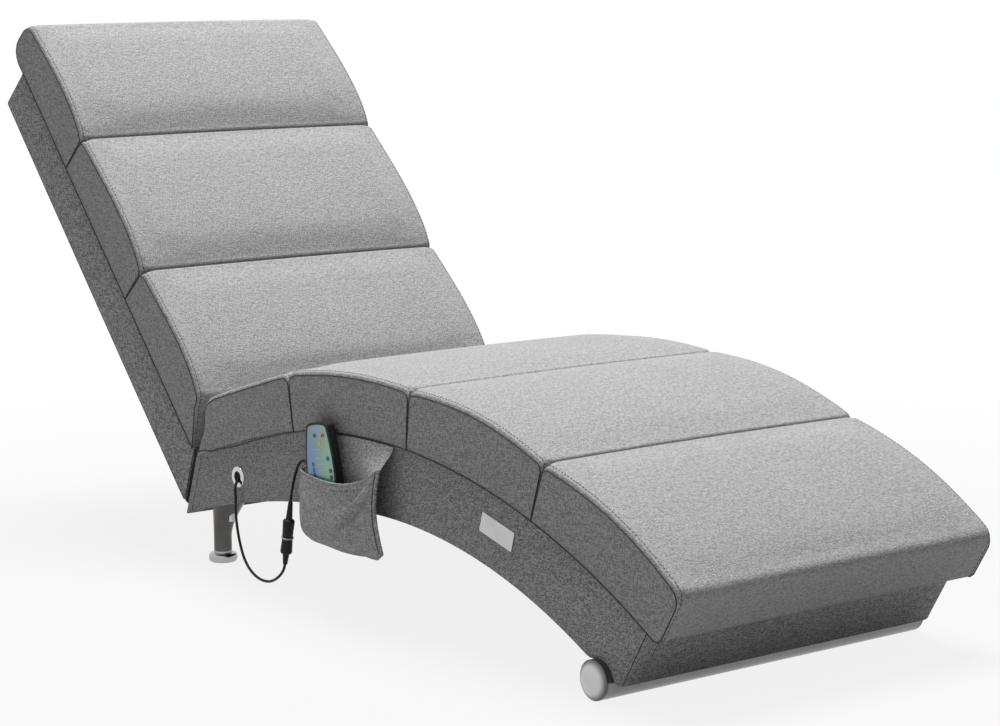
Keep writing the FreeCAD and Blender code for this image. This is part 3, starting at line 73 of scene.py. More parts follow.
MM = 0.001
CHAIR = "chair"
HANDSET = "handset"
CLOTH_UV = "cloth"
SIDE_MARK = 5.0
SIDE_MARK_RANGE = (3.0, 3.1)
STATION_CENTRE = 669.525

# Side profile shared with the frame
DECK_RADIUS = 1120.0
CREST_STATION = 490.0
CREST_HEIGHT = 260.0
BASE_REAR_ARC = 456.0
FRONT_FOOT_HEIGHT = 26.0
BASE_FRONT_ARC = 600.0
CALF_OVERHANG = 27.0
REAR_LEAN = math.radians(21.0)
BACK_ANGLE = math.radians(47.9)
BACK_GAP = 10.0
BACK_RAISE = 10.0
ARCH_STATION = 460.0
ARCH_HEIGHT = 158.0
ARCH_FRONT_RADIUS = 920.0
ARCH_REAR_RADIUS = 1680.0
TUBE_STATION = 8.0
TUBE_RADIUS = 26.0
CUSHION_HALF = 275.0
BASE_HALF = 271.0
PAD_LIFT = 0.3
BACK_LENGTH = 732.0
HEAD_OVERHANG = 38.0
REAR_SETBACK = 8.0
SEAT_PADS = 4

# Handset and connector, shared with the frame
HANDSET_STATION = 556.0
HANDSET_BOTTOM = 128.0
HANDSET_LEAN = math.radians(9.0)
HANDSET_STACK = (9.0, 6.0, 7.5, 0.5)
HANDSET_BULGE = 2.5
HANDSET_EXIT = 10.0
PLUG_TOP = (654.0, 148.0)
PLUG_OUT = 20.0
PLUG_LEAN = math.radians(10.0)
CONNECTOR_RUNS = (25.0, 27.0, 2.0, 24.0, 15.0)

# Fineness of the sewn meshes
CORNER_STEPS = 6
CROWN_STEPS = 40

SLOPE = (math.cos(BACK_ANGLE), math.sin(BACK_ANGLE))
NORMAL = (-SLOPE[1], SLOPE[0])
SLIT_DOWN = (math.sin(REAR_LEAN), -math.cos(REAR_LEAN))
SLIT_OUT = (-SLIT_DOWN[1], SLIT_DOWN[0])


def shift(point: Pair, way: Pair, distance: float) -> Pair:
    """Point of the side profile moved along a direction."""
    return (point[0] + way[0] * distance, point[1] + way[1] * distance)


def deck(along: float, height: float = 0.0) -> Pair:
    """Point along the bent seat panel from its crest, rear positive, and above it."""
    angle = along / DECK_RADIUS
    reach = DECK_RADIUS + height
    low = CREST_HEIGHT - DECK_RADIUS
    return (CREST_STATION + reach * math.sin(angle), low + reach * math.cos(angle))


BACK_ORIGIN = shift(shift(deck(BASE_REAR_ARC), SLIT_OUT, BACK_GAP), SLIT_DOWN, -BACK_RAISE)


def back(along: float, out: float = 0.0) -> Pair:
    """Point up the back's slope from its lower front edge, and out from its front plane."""
    return shift(shift(BACK_ORIGIN, SLOPE, along), NORMAL, out)


def arch(station: float) -> Pair:
    """Point on the underside of the base at a station."""
    radius = ARCH_FRONT_RADIUS if station < ARCH_STATION else ARCH_REAR_RADIUS
    fall = radius - math.sqrt(radius ** 2 - (station - ARCH_STATION) ** 2)
    return (station, ARCH_HEIGHT - fall)


def spot(x: float, point: Pair) -> Vector:
    """Vector in metres in the part's frame.

    Args:
        x: place across the chaise in millimetres.
        point: station and height in millimetres.

    Returns:
        The point in the frame that the solids use.
    """
    return Vector((x, point[0] - STATION_CENTRE, point[1])) * MM


def ease(share: float) -> float:
    """Smooth step from 0 to 1, flat at both ends and clamped outside."""
    share = min(1.0, max(0.0, share))
    return share * share * (3 - 2 * share)


def along_line(points: Sequence[Pair], share: float) -> Pair:
    """Point at a share of a polyline's length.

    Args:
        points: corners of the polyline.
        share: 0 at the first corner, 1 at the last.

    Returns:
        The point there.
    """
    runs = [math.dist(a, b) for a, b in zip(points, points[1:])]
    left = share * sum(runs)
    for (a, b), run in zip(zip(points, points[1:]), runs):
        if left <= run and run > 0:
            part = left / run
            return (a[0] + (b[0] - a[0]) * part, a[1] + (b[1] - a[1]) * part)
        left -= run
    return points[-1]


def graded(length: float, step: float, near: Sequence[float], both: bool) -> list[float]:
    """Shares of a length that crowd towards its end, or towards both ends.

    Args:
        length: the whole length.
        step: widest distance between two shares.
        near: distances from the crowded end.
        both: crowd the first end too.

    Returns:
        Rising shares from 0 to 1.
    """
    tail = [length - value for value in reversed(near)]
    head = list(near) if both else [0.0]
    count = max(1, round((tail[0] - head[-1]) / step))
    middle = [head[-1] + (tail[0] - head[-1]) * k / count for k in range(1, count)]
    return [value / length for value in head + middle + tail]


class Sock:
    """Output socket of a shader node, with the arithmetic that the finishes use."""

    def __init__(self, graph: "Graph", socket: bpy.types.NodeSocket) -> None:
        """Keep the socket and the graph that it belongs to."""
        self.graph = graph
        self.socket = socket

    def _math(self, kind: str, first: "Sock | float", second: "Sock | float") -> "Sock":
        """Add one Math node on two values."""
        return self.graph.add("Math", {"operation": kind}, {0: first, 1: second})

    def __add__(self, other: "Sock | float") -> "Sock":
        """Sum."""
        return self._math("ADD", self, other)

    def __sub__(self, other: "Sock | float") -> "Sock":
        """Difference."""
        return self._math("SUBTRACT", self, other)

    def __mul__(self, other: "Sock | float") -> "Sock":
        """Product."""
        return self._math("MULTIPLY", self, other)

    def most(self, other: "Sock | float") -> "Sock":
        """Larger of two values."""
        return self._math("MAXIMUM", self, other)

    def sine(self) -> "Sock":
        """Sine of the value in radians."""
        return self.graph.add("Math", {"operation": "SINE"}, {0: self})

    def within(self, low: float, high: float) -> "Sock":
        """Share of the way from low to high, clamped and eased."""
        settings = {"interpolation_type": "SMOOTHSTEP"}
        return self.graph.add("MapRange", settings, {0: self, 1: low, 2: high, 3: 0.0, 4: 1.0})


class Graph:
    """Node tree of one material, or of the surroundings."""

    def __init__(self, name: str, world: bool = False) -> None:
        """Start an empty tree in a new material or world of that name."""
        store = bpy.data.worlds if world else bpy.data.materials
        self.owner = store.new(name)
        self.owner.use_nodes = True
        self.tree = self.owner.node_tree
        self.tree.nodes.clear()
        self.end = "World" if world else "Material"

    def add(self, kind: str, settings: dict | None = None, inputs: dict | None = None,
            out: int | str = 0) -> Sock:
        """Add any shader node.

        Args:
            kind: the node's type without its ShaderNode prefix.
            settings: attributes that are set first.
            inputs: values or links by socket name or number.
            out: the output that the expression goes on with.

        Returns:
            That output.
        """
        node = self.tree.nodes.new("ShaderNode" + kind)
        for key, value in (settings or {}).items():
            setattr(node, key, value)
        for key, value in (inputs or {}).items():
            socket = node.inputs[key]
            if isinstance(value, Sock):
                self.tree.links.new(value.socket, socket)
            else:
                socket.default_value = value
        return Sock(self, node.outputs[out])

    def blend(self, share: Sock | float, first: Sock | Triple, second: Sock | Triple) -> Sock:
        """Colour between two colours."""
        ends = [end if isinstance(end, Sock) else (*end, 1.0) for end in (first, second)]
        return self.add("Mix", {"data_type": "RGBA"}, {0: share, 6: ends[0], 7: ends[1]}, 2)

    def noise(self, place: Sock, scale: float, detail: float = 2.0) -> Sock:
        """Noise value at a place."""
        return self.add("TexNoise", None, {"Vector": place, "Scale": scale, "Detail": detail})

    def object_place(self) -> Sock:
        """Place in the part's frame, in metres."""
        return self.add("TexCoord", None, None, "Object")

    def cloth_place(self) -> tuple[Sock, Sock, Sock]:
        """Place on the cloth as a vector, and its two parts, in metres."""
        place = self.add("UVMap", {"uv_map": CLOTH_UV}, None, "UV")
        return place, self.part(place, 0), self.part(place, 1)

    def part(self, vector: Sock, index: int) -> Sock:
        """One coordinate of a vector."""
        return self.add("SeparateXYZ", None, {0: vector}, index)

    def vector(self, x: Sock | float, y: Sock | float, z: Sock | float = 0.0) -> Sock:
        """Vector from three values."""
        return self.add("CombineXYZ", None, {0: x, 1: y, 2: z})

    def bump(self, height: Sock, strength: float, distance: float) -> Sock:
        """Bumped normal from a height."""
        return self.add("Bump", None, {"Height": height, "Strength": strength, "Distance": distance})

    def surface(self, inputs: dict) -> bpy.types.Material:
        """Close the tree with a Principled surface.

        Args:
            inputs: values or links of its sockets.

        Returns:
            The finished material.
        """
        return self.close(self.add("BsdfPrincipled", None, inputs))

    def close(self, shader: Sock) -> bpy.types.Material | bpy.types.World:
        """Link a shader to the output and give the tree's owner."""
        end = self.tree.nodes.new("ShaderNodeOutput" + self.end)
        self.tree.links.new(shader.socket, end.inputs["Surface"])
        return self.owner


@dataclass(frozen=True)
class WovenCloth:
    """Melange plain weave: light and dark yarns, slubs and a soft fuzz; on the side panels the contrast is
    raised as painted grazing light.
    """

    name: str
    dark: float
    light: float
    pitch: float = 0.0011
    contrast: float = 1.0
    roughness: float = 0.92
    # Extra contrast on the side panels, painted grazing light on the weave.
    upright: float = 1.0
    lines: float = 0.0
    yarn_scales: Pair = (760.0, 170.0)
    slub_scales: Pair = (430.0, 95.0)
    fleck_scale: float = 640.0
    cloud_scale: float = 7.0
    layers: Triple = (3.7, 9.1, 5.3)
    yarn_share: float = 1.9
    slub_share: float = 0.4
    fleck_share: float = 2.0
    line_share: float = 2.4
    painted_side_line_share: float = 1.1
    soft_share: float = 0.25
    weave_height: float = 0.3
    yarn_height: float = 0.9
    relief: Pair = (0.9, 0.0009)

    def make(self) -> bpy.types.Material:
        """Build the material on the cloth's own coordinates."""
        g = Graph(self.name)
        place, across, along = g.cloth_place()
        turn = 2 * math.pi / self.pitch
        weave = (across * turn).sine() * (along * turn).sine() * 0.5 + 0.5
        (fine, coarse), (thin, long) = self.yarn_scales, self.slub_scales
        warp = g.noise(g.vector(across * fine, along * coarse), 1.0, 2.0)
        weft = g.noise(g.vector(across * coarse, along * fine, self.layers[0]), 1.0, 2.0)
        slub = g.noise(g.vector(across * thin, along * long, self.layers[1]), 1.0, 1.0) - 0.5
        streak = g.noise(g.vector(across * long, along * thin, self.layers[2]), 1.0, 1.0) - 0.5
        fleck = g.noise(place, self.fleck_scale, 1.0)
        cloud = g.noise(place, self.cloud_scale, 2.0) - 0.5
        # Side panels get stronger yarn contrast and streaks: painted grazing light on the weave's relief.
        side = across.within(*SIDE_MARK_RANGE)
        upright = side * self.upright + self.contrast
        lines = slub * self.line_share + streak * self.line_share
        lines = lines * (side * self.painted_side_line_share + self.lines)
        yarn = (warp - 0.5) * self.yarn_share + (weft - 0.5) * self.yarn_share
        yarn = yarn + slub * self.slub_share + (fleck - 0.5) * self.fleck_share
        tone = yarn * upright + lines + cloud * self.soft_share + (weave - 0.5) * self.soft_share + 0.5
        colour = g.blend(tone.within(0.0, 1.0), (self.dark,) * 3, (self.light,) * 3)
        height = weave * self.weave_height + (warp + weft + fleck) * self.yarn_height
        return g.surface({
            "Base Color": colour, "Roughness": self.roughness, "Normal": g.bump(height, *self.relief),
            "Sheen Weight": 0.1, "Sheen Roughness": 0.45, "Specular IOR Level": 0.15,
        })


@dataclass(frozen=True)
class Metal:
    """Metal skin with fine wear in its gloss; an optional pale foot band below a height is a painted
    reflection.
    """

    name: str
    colour: Triple
    roughness: float
    brushed: float = 0.0
    # Colour of the foot band, a painted reflection of the bright floor.
    foot: Triple | None = None
    reflection_foot_height: float = 0.017
    reflection_foot_blend: float = 0.001
    smudge_scale: float = 26.0
    smudge_gloss: float = 0.06
    line_scales: Pair = (60.0, 2400.0)
    dull_share: float = 0.86
    dull_range: Pair = (0.3, 0.75)
    relief: float = 0.0002

    def make(self) -> bpy.types.Material:
        """Build the material on object coordinates."""
        g = Graph(self.name)
        place = g.object_place()
        smudge = g.noise(place, self.smudge_scale, 4.0)
        slow, fast = self.line_scales
        drawn = g.vector(g.part(place, 0) * slow, g.part(place, 1) * fast, g.part(place, 2) * fast)
        lines = g.noise(drawn, 1.0, 2.0)
        rough = (smudge - 0.5) * self.smudge_gloss + (lines - 0.5) * self.brushed + self.roughness
        dull = tuple(value * self.dull_share for value in self.colour)
        colour = g.blend(smudge.within(*self.dull_range), dull, self.colour)
        # Pale below the foot height: painted reflection of the floor on the foot disc.
        if self.foot:
            low, high = self.reflection_foot_height - self.reflection_foot_blend, self.reflection_foot_height + self.reflection_foot_blend
            upper = g.part(place, 2).within(low, high)
            colour = g.blend(upper, self.foot, colour)
        return g.surface({
            "Base Color": colour, "Metallic": 1.0, "Roughness": rough,
            "Normal": g.bump(lines, self.brushed * 0.5, self.relief),
        })


@dataclass(frozen=True)
class TurnedCap:
    """Satin cap turned on a lathe: pale face, fine rings, and a dark rim that is a painted reflection."""

    name: str
    face: Triple
    rim: Triple
    centre: Pair
    radius: float
    ring_rate: float = 9000.0
    smudge_scale: float = 40.0
    painted_rim_shade_shares: Pair = (0.62, 0.99)
    gloss: Pair = (0.12, 0.22)
    relief: Pair = (0.08, 0.0001)

    def make(self) -> bpy.types.Material:
        """Build the material round the tube's axis."""
        g = Graph(self.name)
        place = g.object_place()
        spoke = g.vector(0.0, g.part(place, 1) - self.centre[0], g.part(place, 2) - self.centre[1])
        away = g.add("VectorMath", {"operation": "LENGTH"}, {0: spoke}, "Value")
        rings = (away * self.ring_rate).sine() * 0.5 + 0.5
        smudge = g.noise(place, self.smudge_scale, 3.0)
        # Darker towards the rim: painted dark reflection at the dome's edge.
        edge = away.within(*(self.radius * share for share in self.painted_rim_shade_shares))
        colour = g.blend(edge, self.face, self.rim)
        rough = smudge * self.gloss[0] + self.gloss[1]
        return g.surface({"Base Color": colour, "Metallic": 1.0, "Roughness": rough,
                          "Normal": g.bump(rings, *self.relief)})


@dataclass(frozen=True)
class Moulded:
    """Moulded plastic or rubber with a fine grain."""

    name: str
    colour: Triple
    roughness: float = 0.42
    grain: float = 0.15
    shine: float = 0.5
    grain_scale: float = 1800.0
    wear_scale: float = 60.0
    wear_range: Pair = (0.45, 0.8)
    wear_gloss: float = 0.12
    pale_gain: Pair = (1.3, 0.006)
    relief: float = 0.0002

    def make(self) -> bpy.types.Material:
        """Build the material on object coordinates."""
        g = Graph(self.name)
        place = g.object_place()
        fine = g.noise(place, self.grain_scale, 2.0)
        wear = g.noise(place, self.wear_scale, 3.0)
        gain, rest = self.pale_gain
        pale = tuple(min(1.0, value * gain + rest) for value in self.colour)
        colour = g.blend(wear.within(*self.wear_range), self.colour, pale)
        rough = (wear - 0.5) * self.wear_gloss + self.roughness
        return g.surface({"Base Color": colour, "Roughness": rough, "Specular IOR Level": self.shine,
                          "Normal": g.bump(fine, self.grain, self.relief)})


@dataclass(frozen=True)
class Timber:
    """Raw board with growth lines along X."""

    name: str
    pale: Triple
    deep: Triple
    grain_scales: Pair = (6.0, 70.0)
    pore_scale: float = 9.0
    pore_share: float = 0.25
    tone_range: Pair = (0.3, 0.7)
    gloss: Pair = (0.25, 0.55)
    relief: Pair = (0.2, 0.0006)

    def make(self) -> bpy.types.Material:
        """Build the material on object coordinates."""
        g = Graph(self.name)
        place = g.object_place()
        slow, fast = self.grain_scales
        stretched = g.vector(g.part(place, 0) * slow, g.part(place, 1) * fast, g.part(place, 2) * fast)
        rings = g.noise(stretched, 1.0, 5.0)
        pores = g.noise(stretched, self.pore_scale, 2.0)
        tone = rings * (1 - self.pore_share) + pores * self.pore_share
        colour = g.blend(tone.within(*self.tone_range), self.pale, self.deep)
        rough = tone * self.gloss[0] + self.gloss[1]
        return g.surface({"Base Color": colour, "Roughness": rough, "Normal": g.bump(tone, *self.relief)})


@dataclass(frozen=True)
class PrintedFilm:
    """Handset face film: blue on the rear half, green on the front half, paler towards the top, with faint
    print.
    """

    name: str
    blue: Triple
    green: Triple
    middle: float
    spread: float
    pale_top: Triple = (0.62, 0.78, 0.62)
    pale_top_heights: Pair = (0.15, 0.28)
    pale_top_share: float = 0.35
    print_scale: float = 900.0
    gloss: Pair = (0.1, 0.24)
    coat: float = 0.3

    def make(self) -> bpy.types.Material:
        """Build the material on object coordinates."""
        g = Graph(self.name)
        place = g.object_place()
        share = g.part(place, 1).within(self.middle - self.spread, self.middle + self.spread)
        # Paler towards the top.
        fade = g.part(place, 2).within(*self.pale_top_heights)
        mixed = g.blend(share, self.green, self.blue)
        pale = g.blend(fade * self.pale_top_share, mixed, self.pale_top)
        speck = g.noise(place, self.print_scale, 2.0)
        rough = speck * self.gloss[0] + self.gloss[1]
        return g.surface({"Base Color": pale, "Roughness": rough, "Coat Weight": self.coat})


class Sewing:
    """Cloth mesh under construction: shared points, and faces with their place on the cloth."""

    def __init__(self) -> None:
        """Start with nothing sewn."""
        self.points: list[Vector] = []
        self.faces: list[list[int]] = []
        self.coords: list[list[Pair]] = []

    def point(self, place: Vector) -> int:
        """Add a point and give its number."""
        self.points.append(place)
        return len(self.points) - 1

    def grid(self, ids: list[list[int]], cloth: list[list[Pair]], flip: bool = False) -> None:
        """Sew quads over a grid of points.

        Args:
            ids: rows of point numbers.
            cloth: the place of each on the cloth, in metres.
            flip: turn the faces round.
        """
        for i in range(len(ids) - 1):
            for j in range(len(ids[0]) - 1):
                ring = [(i, j), (i, j + 1), (i + 1, j + 1), (i + 1, j)]
                if flip:
                    ring.reverse()
                face = [ids[a][b] for a, b in ring]
                if len(set(face)) < 3:
                    continue
                keep = [k for k, number in enumerate(face) if number not in face[:k]]
                self.faces.append([face[k] for k in keep])
                self.coords.append([cloth[ring[k][0]][ring[k][1]] for k in keep])

    def build(self, name: str) -> bpy.types.Object:
        """Make the mesh object, smooth, at the origin."""
        mesh = bpy.data.meshes.new(name)
        mesh.from_pydata(self.points, [], self.faces)
        layer = mesh.uv_layers.new(name=CLOTH_UV)
        flat = [pair for face in self.coords for pair in face]
        for loop, pair in zip(layer.data, flat):
            loop.uv = pair
        mesh.shade_smooth()
        return add_object(name, mesh)


def add_object(name: str, data: bpy.types.ID) -> bpy.types.Object:
    """Put new data into the scene as an object."""
    piece = bpy.data.objects.new(name, data)
    bpy.context.scene.collection.objects.link(piece)
    return piece


def flat_piece(name: str, points: Sequence[Sequence[float]], faces: Sequence[Sequence[int]],
               leftward: bool = False) -> bpy.types.Object:
    """Piece of flat faces.

    Args:
        name: the piece's name.
        points: corners in metres.
        faces: corner numbers of each face.
        leftward: turn every face to the chaise's left.

    Returns:
        The mesh object.
    """
    mesh = bpy.data.meshes.new(name)
    mesh.from_pydata(points, [], faces)
    for face in mesh.polygons:
        if leftward and face.normal.x > 0:
            face.flip()
    mesh.update()
    return add_object(name, mesh)


def round_path(name: str, lines: Sequence[Sequence[Vector]], radius: float, sides: int,
               kind: str) -> bpy.types.Object:
    """Curve object with a round section.

    Args:
        name: the object's name.
        lines: rows of points in metres.
        radius: radius of the section in millimetres.
        sides: resolution of the section.
        kind: type of the splines.

    Returns:
        The curve object.
    """
    data = bpy.data.curves.new(name, "CURVE")
    data.dimensions = "3D"
    data.bevel_depth = radius * MM
    data.bevel_resolution = sides
    data.use_fill_caps = True
    for line in lines:
        spline = data.splines.new(kind)
        spline.points.add(len(line) - 1)
        for control, place in zip(spline.points, line):
            control.co = (*place, 1.0)
    return add_object(name, data)


def settle(piece: bpy.types.Object) -> bpy.types.Object:
    """Apply a piece's modifiers into its mesh."""
    view = bpy.context.evaluated_depsgraph_get()
    mesh = bpy.data.meshes.new_from_object(piece.evaluated_get(view))
    piece.modifiers.clear()
    old = piece.data
    piece.data = mesh
    mesh.name = piece.name
    bpy.data.meshes.remove(old)
    return piece


def thicken(piece: bpy.types.Object, thickness: float) -> bpy.types.Object:
    """Give a sheet a thickness in millimetres, half to each side, without applying it."""
    solid = piece.modifiers.new("thick", "SOLIDIFY")
    solid.thickness = thickness * MM
    solid.offset = 0.0
    return piece


def subdivide(piece: bpy.types.Object, levels: int = 1) -> bpy.types.Object:
    """Round a piece with a subdivision surface and apply it."""
    rounder = piece.modifiers.new("round", "SUBSURF")
    rounder.levels = levels
    rounder.render_levels = levels
    rounder.uv_smooth = "PRESERVE_BOUNDARIES"
    return settle(piece)


def dress(piece: bpy.types.Object, material: bpy.types.Material, body: str) -> bpy.types.Object:
    """Give a new piece its finish and its body."""
    piece.data.materials.clear()
    piece.data.materials.append(material)
    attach(piece, body)
    log.info("piece %s rides on %s", piece.name, body)
    return piece


SEAM_STEPS = (0.0, 1.6, 3.4, 5.6, 8.4, 12.0, 17.0, 24.0, 33.0, 44.0)
STITCH_COLUMN = 3
RIM_STEPS = (0.0, 1.6, 3.4, 6.0, 9.5, 14.0, 20.0)
REAR_HEM = (
    (640.0, 0.0), (665.0, -2.0), (752.0, -6.0), (820.0, -8.0), (879.0, -3.4), (915.0, 5.0), (945.0, 13.0),
)


def rear_hem(station: float) -> float:
    """Height of the line between the pads and the base over the bent panel's edge, at the rear."""
    if station <= REAR_HEM[0][0]:
        return 0.0
    for (s0, h0), (s1, h1) in zip(REAR_HEM, REAR_HEM[1:]):
        if station <= s1:
            return h0 + (h1 - h0) * ease((station - s0) / (s1 - s0))
    return REAR_HEM[-1][1]


@dataclass
class SewnPad:
    """One upholstered pad: a top panel that wraps both ends, two side panels and a flat underside."""

    node: str
    place: Place
    ends: Pair
    thick: float
    crown: float
    leans: Pair = (0.0, 0.0)
    corners: Pair = (6.0, 6.0)
    low_round: float = 0.0
    high_round: float = 0.0
    tilt: float = 0.0
    skew: float = 1.0
    soft_edge: float = 55.0
    half: float = CUSHION_HALF
    crown_across: float = 2.0
    edge_band: float = 10.0
    edge_drop: float = 7.0
    notch: float = 1.0
    crease: float = 0.5
    flare: float = 22.0
    corner_growth: float = 7.0
    step: float = 9.0
    across_share: float = 1.4
    side_freedom: float = 0.45
    side_rate: float = 5.0
    end_margin: int = 3
    hem: Callable[[float], float] | None = None
    hem_inset: float = 0.8
    sewing: Sewing = field(default_factory=Sewing)
    strip: list[list[int]] = field(default_factory=list)
    columns: list[float] = field(default_factory=list)
    floors: dict[float, list[int]] = field(default_factory=dict)
    under: set[int] = field(default_factory=set)
    freedom: dict[int, float] = field(default_factory=dict)
    rows: int = 0
    tops: int = 0

    def rim(self, offset: float) -> tuple[list[Pair], list[Pair], list[Pair]]:
        """Section of the top panel at a distance from the side, as three polylines.

        Args:
            offset: distance in from the pad's side.

        Returns:
            First end up to the middle of its corner, over the top, and down the second end.
        """
        side = 1 - ease(offset / self.flare)
        lean = self.crease + (self.notch - self.crease) * side
        roll = min(1.0, offset / self.edge_band)
        drop = self.edge_drop * (1 - math.sqrt(1 - (1 - roll) ** 2))
        room = self.half - self.edge_band
        inward = min(1.0, max(0.0, (offset - self.edge_band) / room))
        height = self.thick - drop + self.crown_across * math.sin(math.pi / 2 * inward)
        first, last = self.ends
        left = first + lean + self.leans[0]
        right = last - lean - self.leans[1]
        r0 = self.corners[0] + self.corner_growth * side
        r1 = self.corners[1] + self.corner_growth * side
        turn = math.pi / 4
        eighth = [turn * k / CORNER_STEPS for k in range(CORNER_STEPS + 1)]
        later = [turn + a for a in eighth]
        quarter = [math.pi / 2 * k / CORNER_STEPS for k in range(CORNER_STEPS + 1)]
        low = self.low_round
        up = [(first + low, 0.0)]
        if low:
            up += [(first + low - low * math.sin(a), low - low * math.cos(a)) for a in quarter[1:]]
        up.append((left, height - r0))
        up += [(left + r0 - r0 * math.cos(a), height - r0 + r0 * math.sin(a)) for a in eighth[1:]]
        over = [(left + r0 - r0 * math.cos(a), height - r0 + r0 * math.sin(a)) for a in later]
        span = right - r1 - left - r0
        for k in range(1, CROWN_STEPS):
            share = k / CROWN_STEPS
            rise = self.crown * math.sin(math.pi * share ** self.skew)
            over.append((left + r0 + span * share, height + rise - self.tilt * share))
        pivot = height - self.tilt - r1
        over += [(right - r1 + r1 * math.sin(a), pivot + r1 * math.cos(a)) for a in eighth]
        down = [(right - r1 + r1 * math.sin(a), pivot + r1 * math.cos(a)) for a in later]
        high = self.high_round
        if high:
            down += [(last - high + high * math.cos(a), high - high * math.sin(a)) for a in quarter]
        else:
            down.append((last, 0.0))
        return up, over, down

    def sew(self) -> bpy.types.Object:
        """Sew the panels together.

        Returns:
            The pad as an unfilled closed mesh.
        """
        up, over, _ = self.rim(0.0)
        climb = graded(run_length(up), self.step, RIM_STEPS, False)
        run = graded(run_length(over), self.step, RIM_STEPS, True)
        fall = [1 - share for share in reversed(climb)]
        self.rows, self.tops = len(climb) - 1, len(run) - 1
        inner = list(SEAM_STEPS)
        count = round((self.half - inner[-1]) / (self.step * self.across_share))
        inner += [inner[-1] + (self.half - inner[-1]) * k / count for k in range(1, count + 1)]
        offsets = inner + inner[-2::-1]
        self.columns = [-self.half + v for v in inner] + [self.half - v for v in inner[-2::-1]]
        cloth: list[list[Pair]] = []
        for x, offset in zip(self.columns, offsets):
            up, over, down = self.rim(offset)
            local = [along_line(up, s) for s in climb] + [along_line(over, s) for s in run[1:]]
            local += [along_line(down, s) for s in fall[1:]]
            ids, marks, length = [], [], 0.0
            for k, (along, height) in enumerate(local):
                if k:
                    length += math.dist(local[k - 1], local[k])
                ids.append(self.sewing.point(spot(x, self.place(along, height + PAD_LIFT))))
                marks.append((x * MM, length * MM))
            self.strip.append(ids)
            cloth.append(marks)
            self._loosen(ids, [mark[1] / MM for mark in marks], offset)
        self.sewing.grid(self.strip, cloth, flip=True)
        self._side_panel(0, True)
        self._side_panel(len(self.columns) - 1, False)
        self._underside()
        self._tuck_hems()
        piece = self.sewing.build(self.node + "_sewn")
        face_outwards(piece)
        return piece

    def _loosen(self, ids: Sequence[int], lengths: Sequence[float], offset: float) -> None:
        """Note how freely the top panel's points rise, from none at its edges to all in its middle.

        Args:
            ids: point numbers of one column.
            lengths: their lengths along the cloth.
            offset: the column's distance from the pad's side.
        """
        first, last = self.rows, self.rows + self.tops
        for k in range(first, last + 1):
            gap = min(lengths[k] - lengths[first], lengths[last] - lengths[k])
            self.freedom[ids[k]] = ease(gap / self.soft_edge) * ease(offset / self.soft_edge)

    def _side_panel(self, column: int, flip: bool) -> None:
        """Fill one side between its welt and the pad's underside."""
        ids = self.strip[column]
        x = self.columns[column]
        left = ids[:self.rows + 1]
        top = ids[self.rows:self.rows + self.tops + 1]
        right = list(reversed(ids[self.rows + self.tops:]))
        flat = self._floor(column)
        points = self.sewing.points
        climb = (points[left[-1]] - points[left[0]]).length
        breadth = (points[top[-1]] - points[top[0]]).length
        grid = [flat]
        for r in range(1, self.rows):
            up = min(1.0, (points[left[r]] - points[left[0]]).length / climb)
            row = [left[r]]
            for t in range(1, self.tops):
                go = min(1.0, (points[top[t]] - points[top[0]]).length / breadth)
                sides = points[left[r]].lerp(points[right[r]], go)
                rise = points[flat[t]].lerp(points[top[t]], up)
                bottom = points[flat[0]].lerp(points[flat[-1]], go)
                ridge = points[top[0]].lerp(points[top[-1]], go)
                place = rise + sides - bottom.lerp(ridge, up)
                place.x = x * MM
                row.append(self.sewing.point(place))
                near = min(1.0, self.side_rate * go, self.side_rate * (1 - go))
                self.freedom[row[-1]] = self.side_freedom * math.sin(math.pi * up) * near
            row.append(right[r])
            grid.append(row)
        grid.append(top)
        cloth = [[(points[k].y + SIDE_MARK, points[k].z) for k in row] for row in grid]
        self.sewing.grid(grid, cloth, flip)

    def _floor(self, column: int) -> list[int]:
        """Points of the underside below the top panel's points at one column."""
        x = self.columns[column]
        if x in self.floors:
            return self.floors[x]
        points = self.sewing.points
        ids = self.strip[column]
        top = ids[self.rows:self.rows + self.tops + 1]
        total = (points[top[-1]] - points[top[0]]).length
        start = self.ends[0] + self.low_round
        row = [ids[0]]
        for t in range(1, self.tops):
            share = (points[top[t]] - points[top[0]]).length / total
            along = start + (self.ends[1] - self.high_round - start) * share
            row.append(self.sewing.point(spot(x, self.place(along, PAD_LIFT))))
        row.append(ids[-1])
        self.floors[x] = row
        return row

    def _underside(self) -> None:
        """Close the pad below."""
        grid = [self._floor(column) for column in range(len(self.columns))]
        points = self.sewing.points
        cloth = [[(points[k].x, points[k].y) for k in row] for row in grid]
        self.sewing.grid(grid, cloth)
        self.under = {k for row in grid for k in row}

    def _tuck_hems(self) -> None:
        """Draw the side panels' lower edges in, and let them follow the hem line."""
        for x in (self.columns[0], self.columns[-1]):
            for k in self.floors[x]:
                point = self.sewing.points[k]
                point.x -= math.copysign(self.hem_inset * MM, x)
                if self.hem:
                    point.z += self.hem(point.y / MM + STATION_CENTRE) * MM

    def welts(self) -> list[list[int]]:
        """Point numbers along the seams between the top panel and the side panels."""
        return [self.strip[0], self.strip[-1]]

    def hems(self) -> list[list[int]]:
        """Point numbers along the side panels' lower edges."""
        return [self.floors[self.columns[0]], self.floors[self.columns[-1]]]

    def stitch_rows(self) -> list[list[int]]:
        """Point numbers along the two rows of top stitching."""
        return [self.strip[STITCH_COLUMN], self.strip[-1 - STITCH_COLUMN]]

    def end_points(self) -> set[int]:
        """Point numbers of the two ends below their corners."""
        low = range(self.rows - self.end_margin)
        high = range(self.rows + self.tops + self.end_margin + 1, 2 * self.rows + self.tops + 1)
        return {ids[k] for ids in self.strip for k in (*low, *high)}


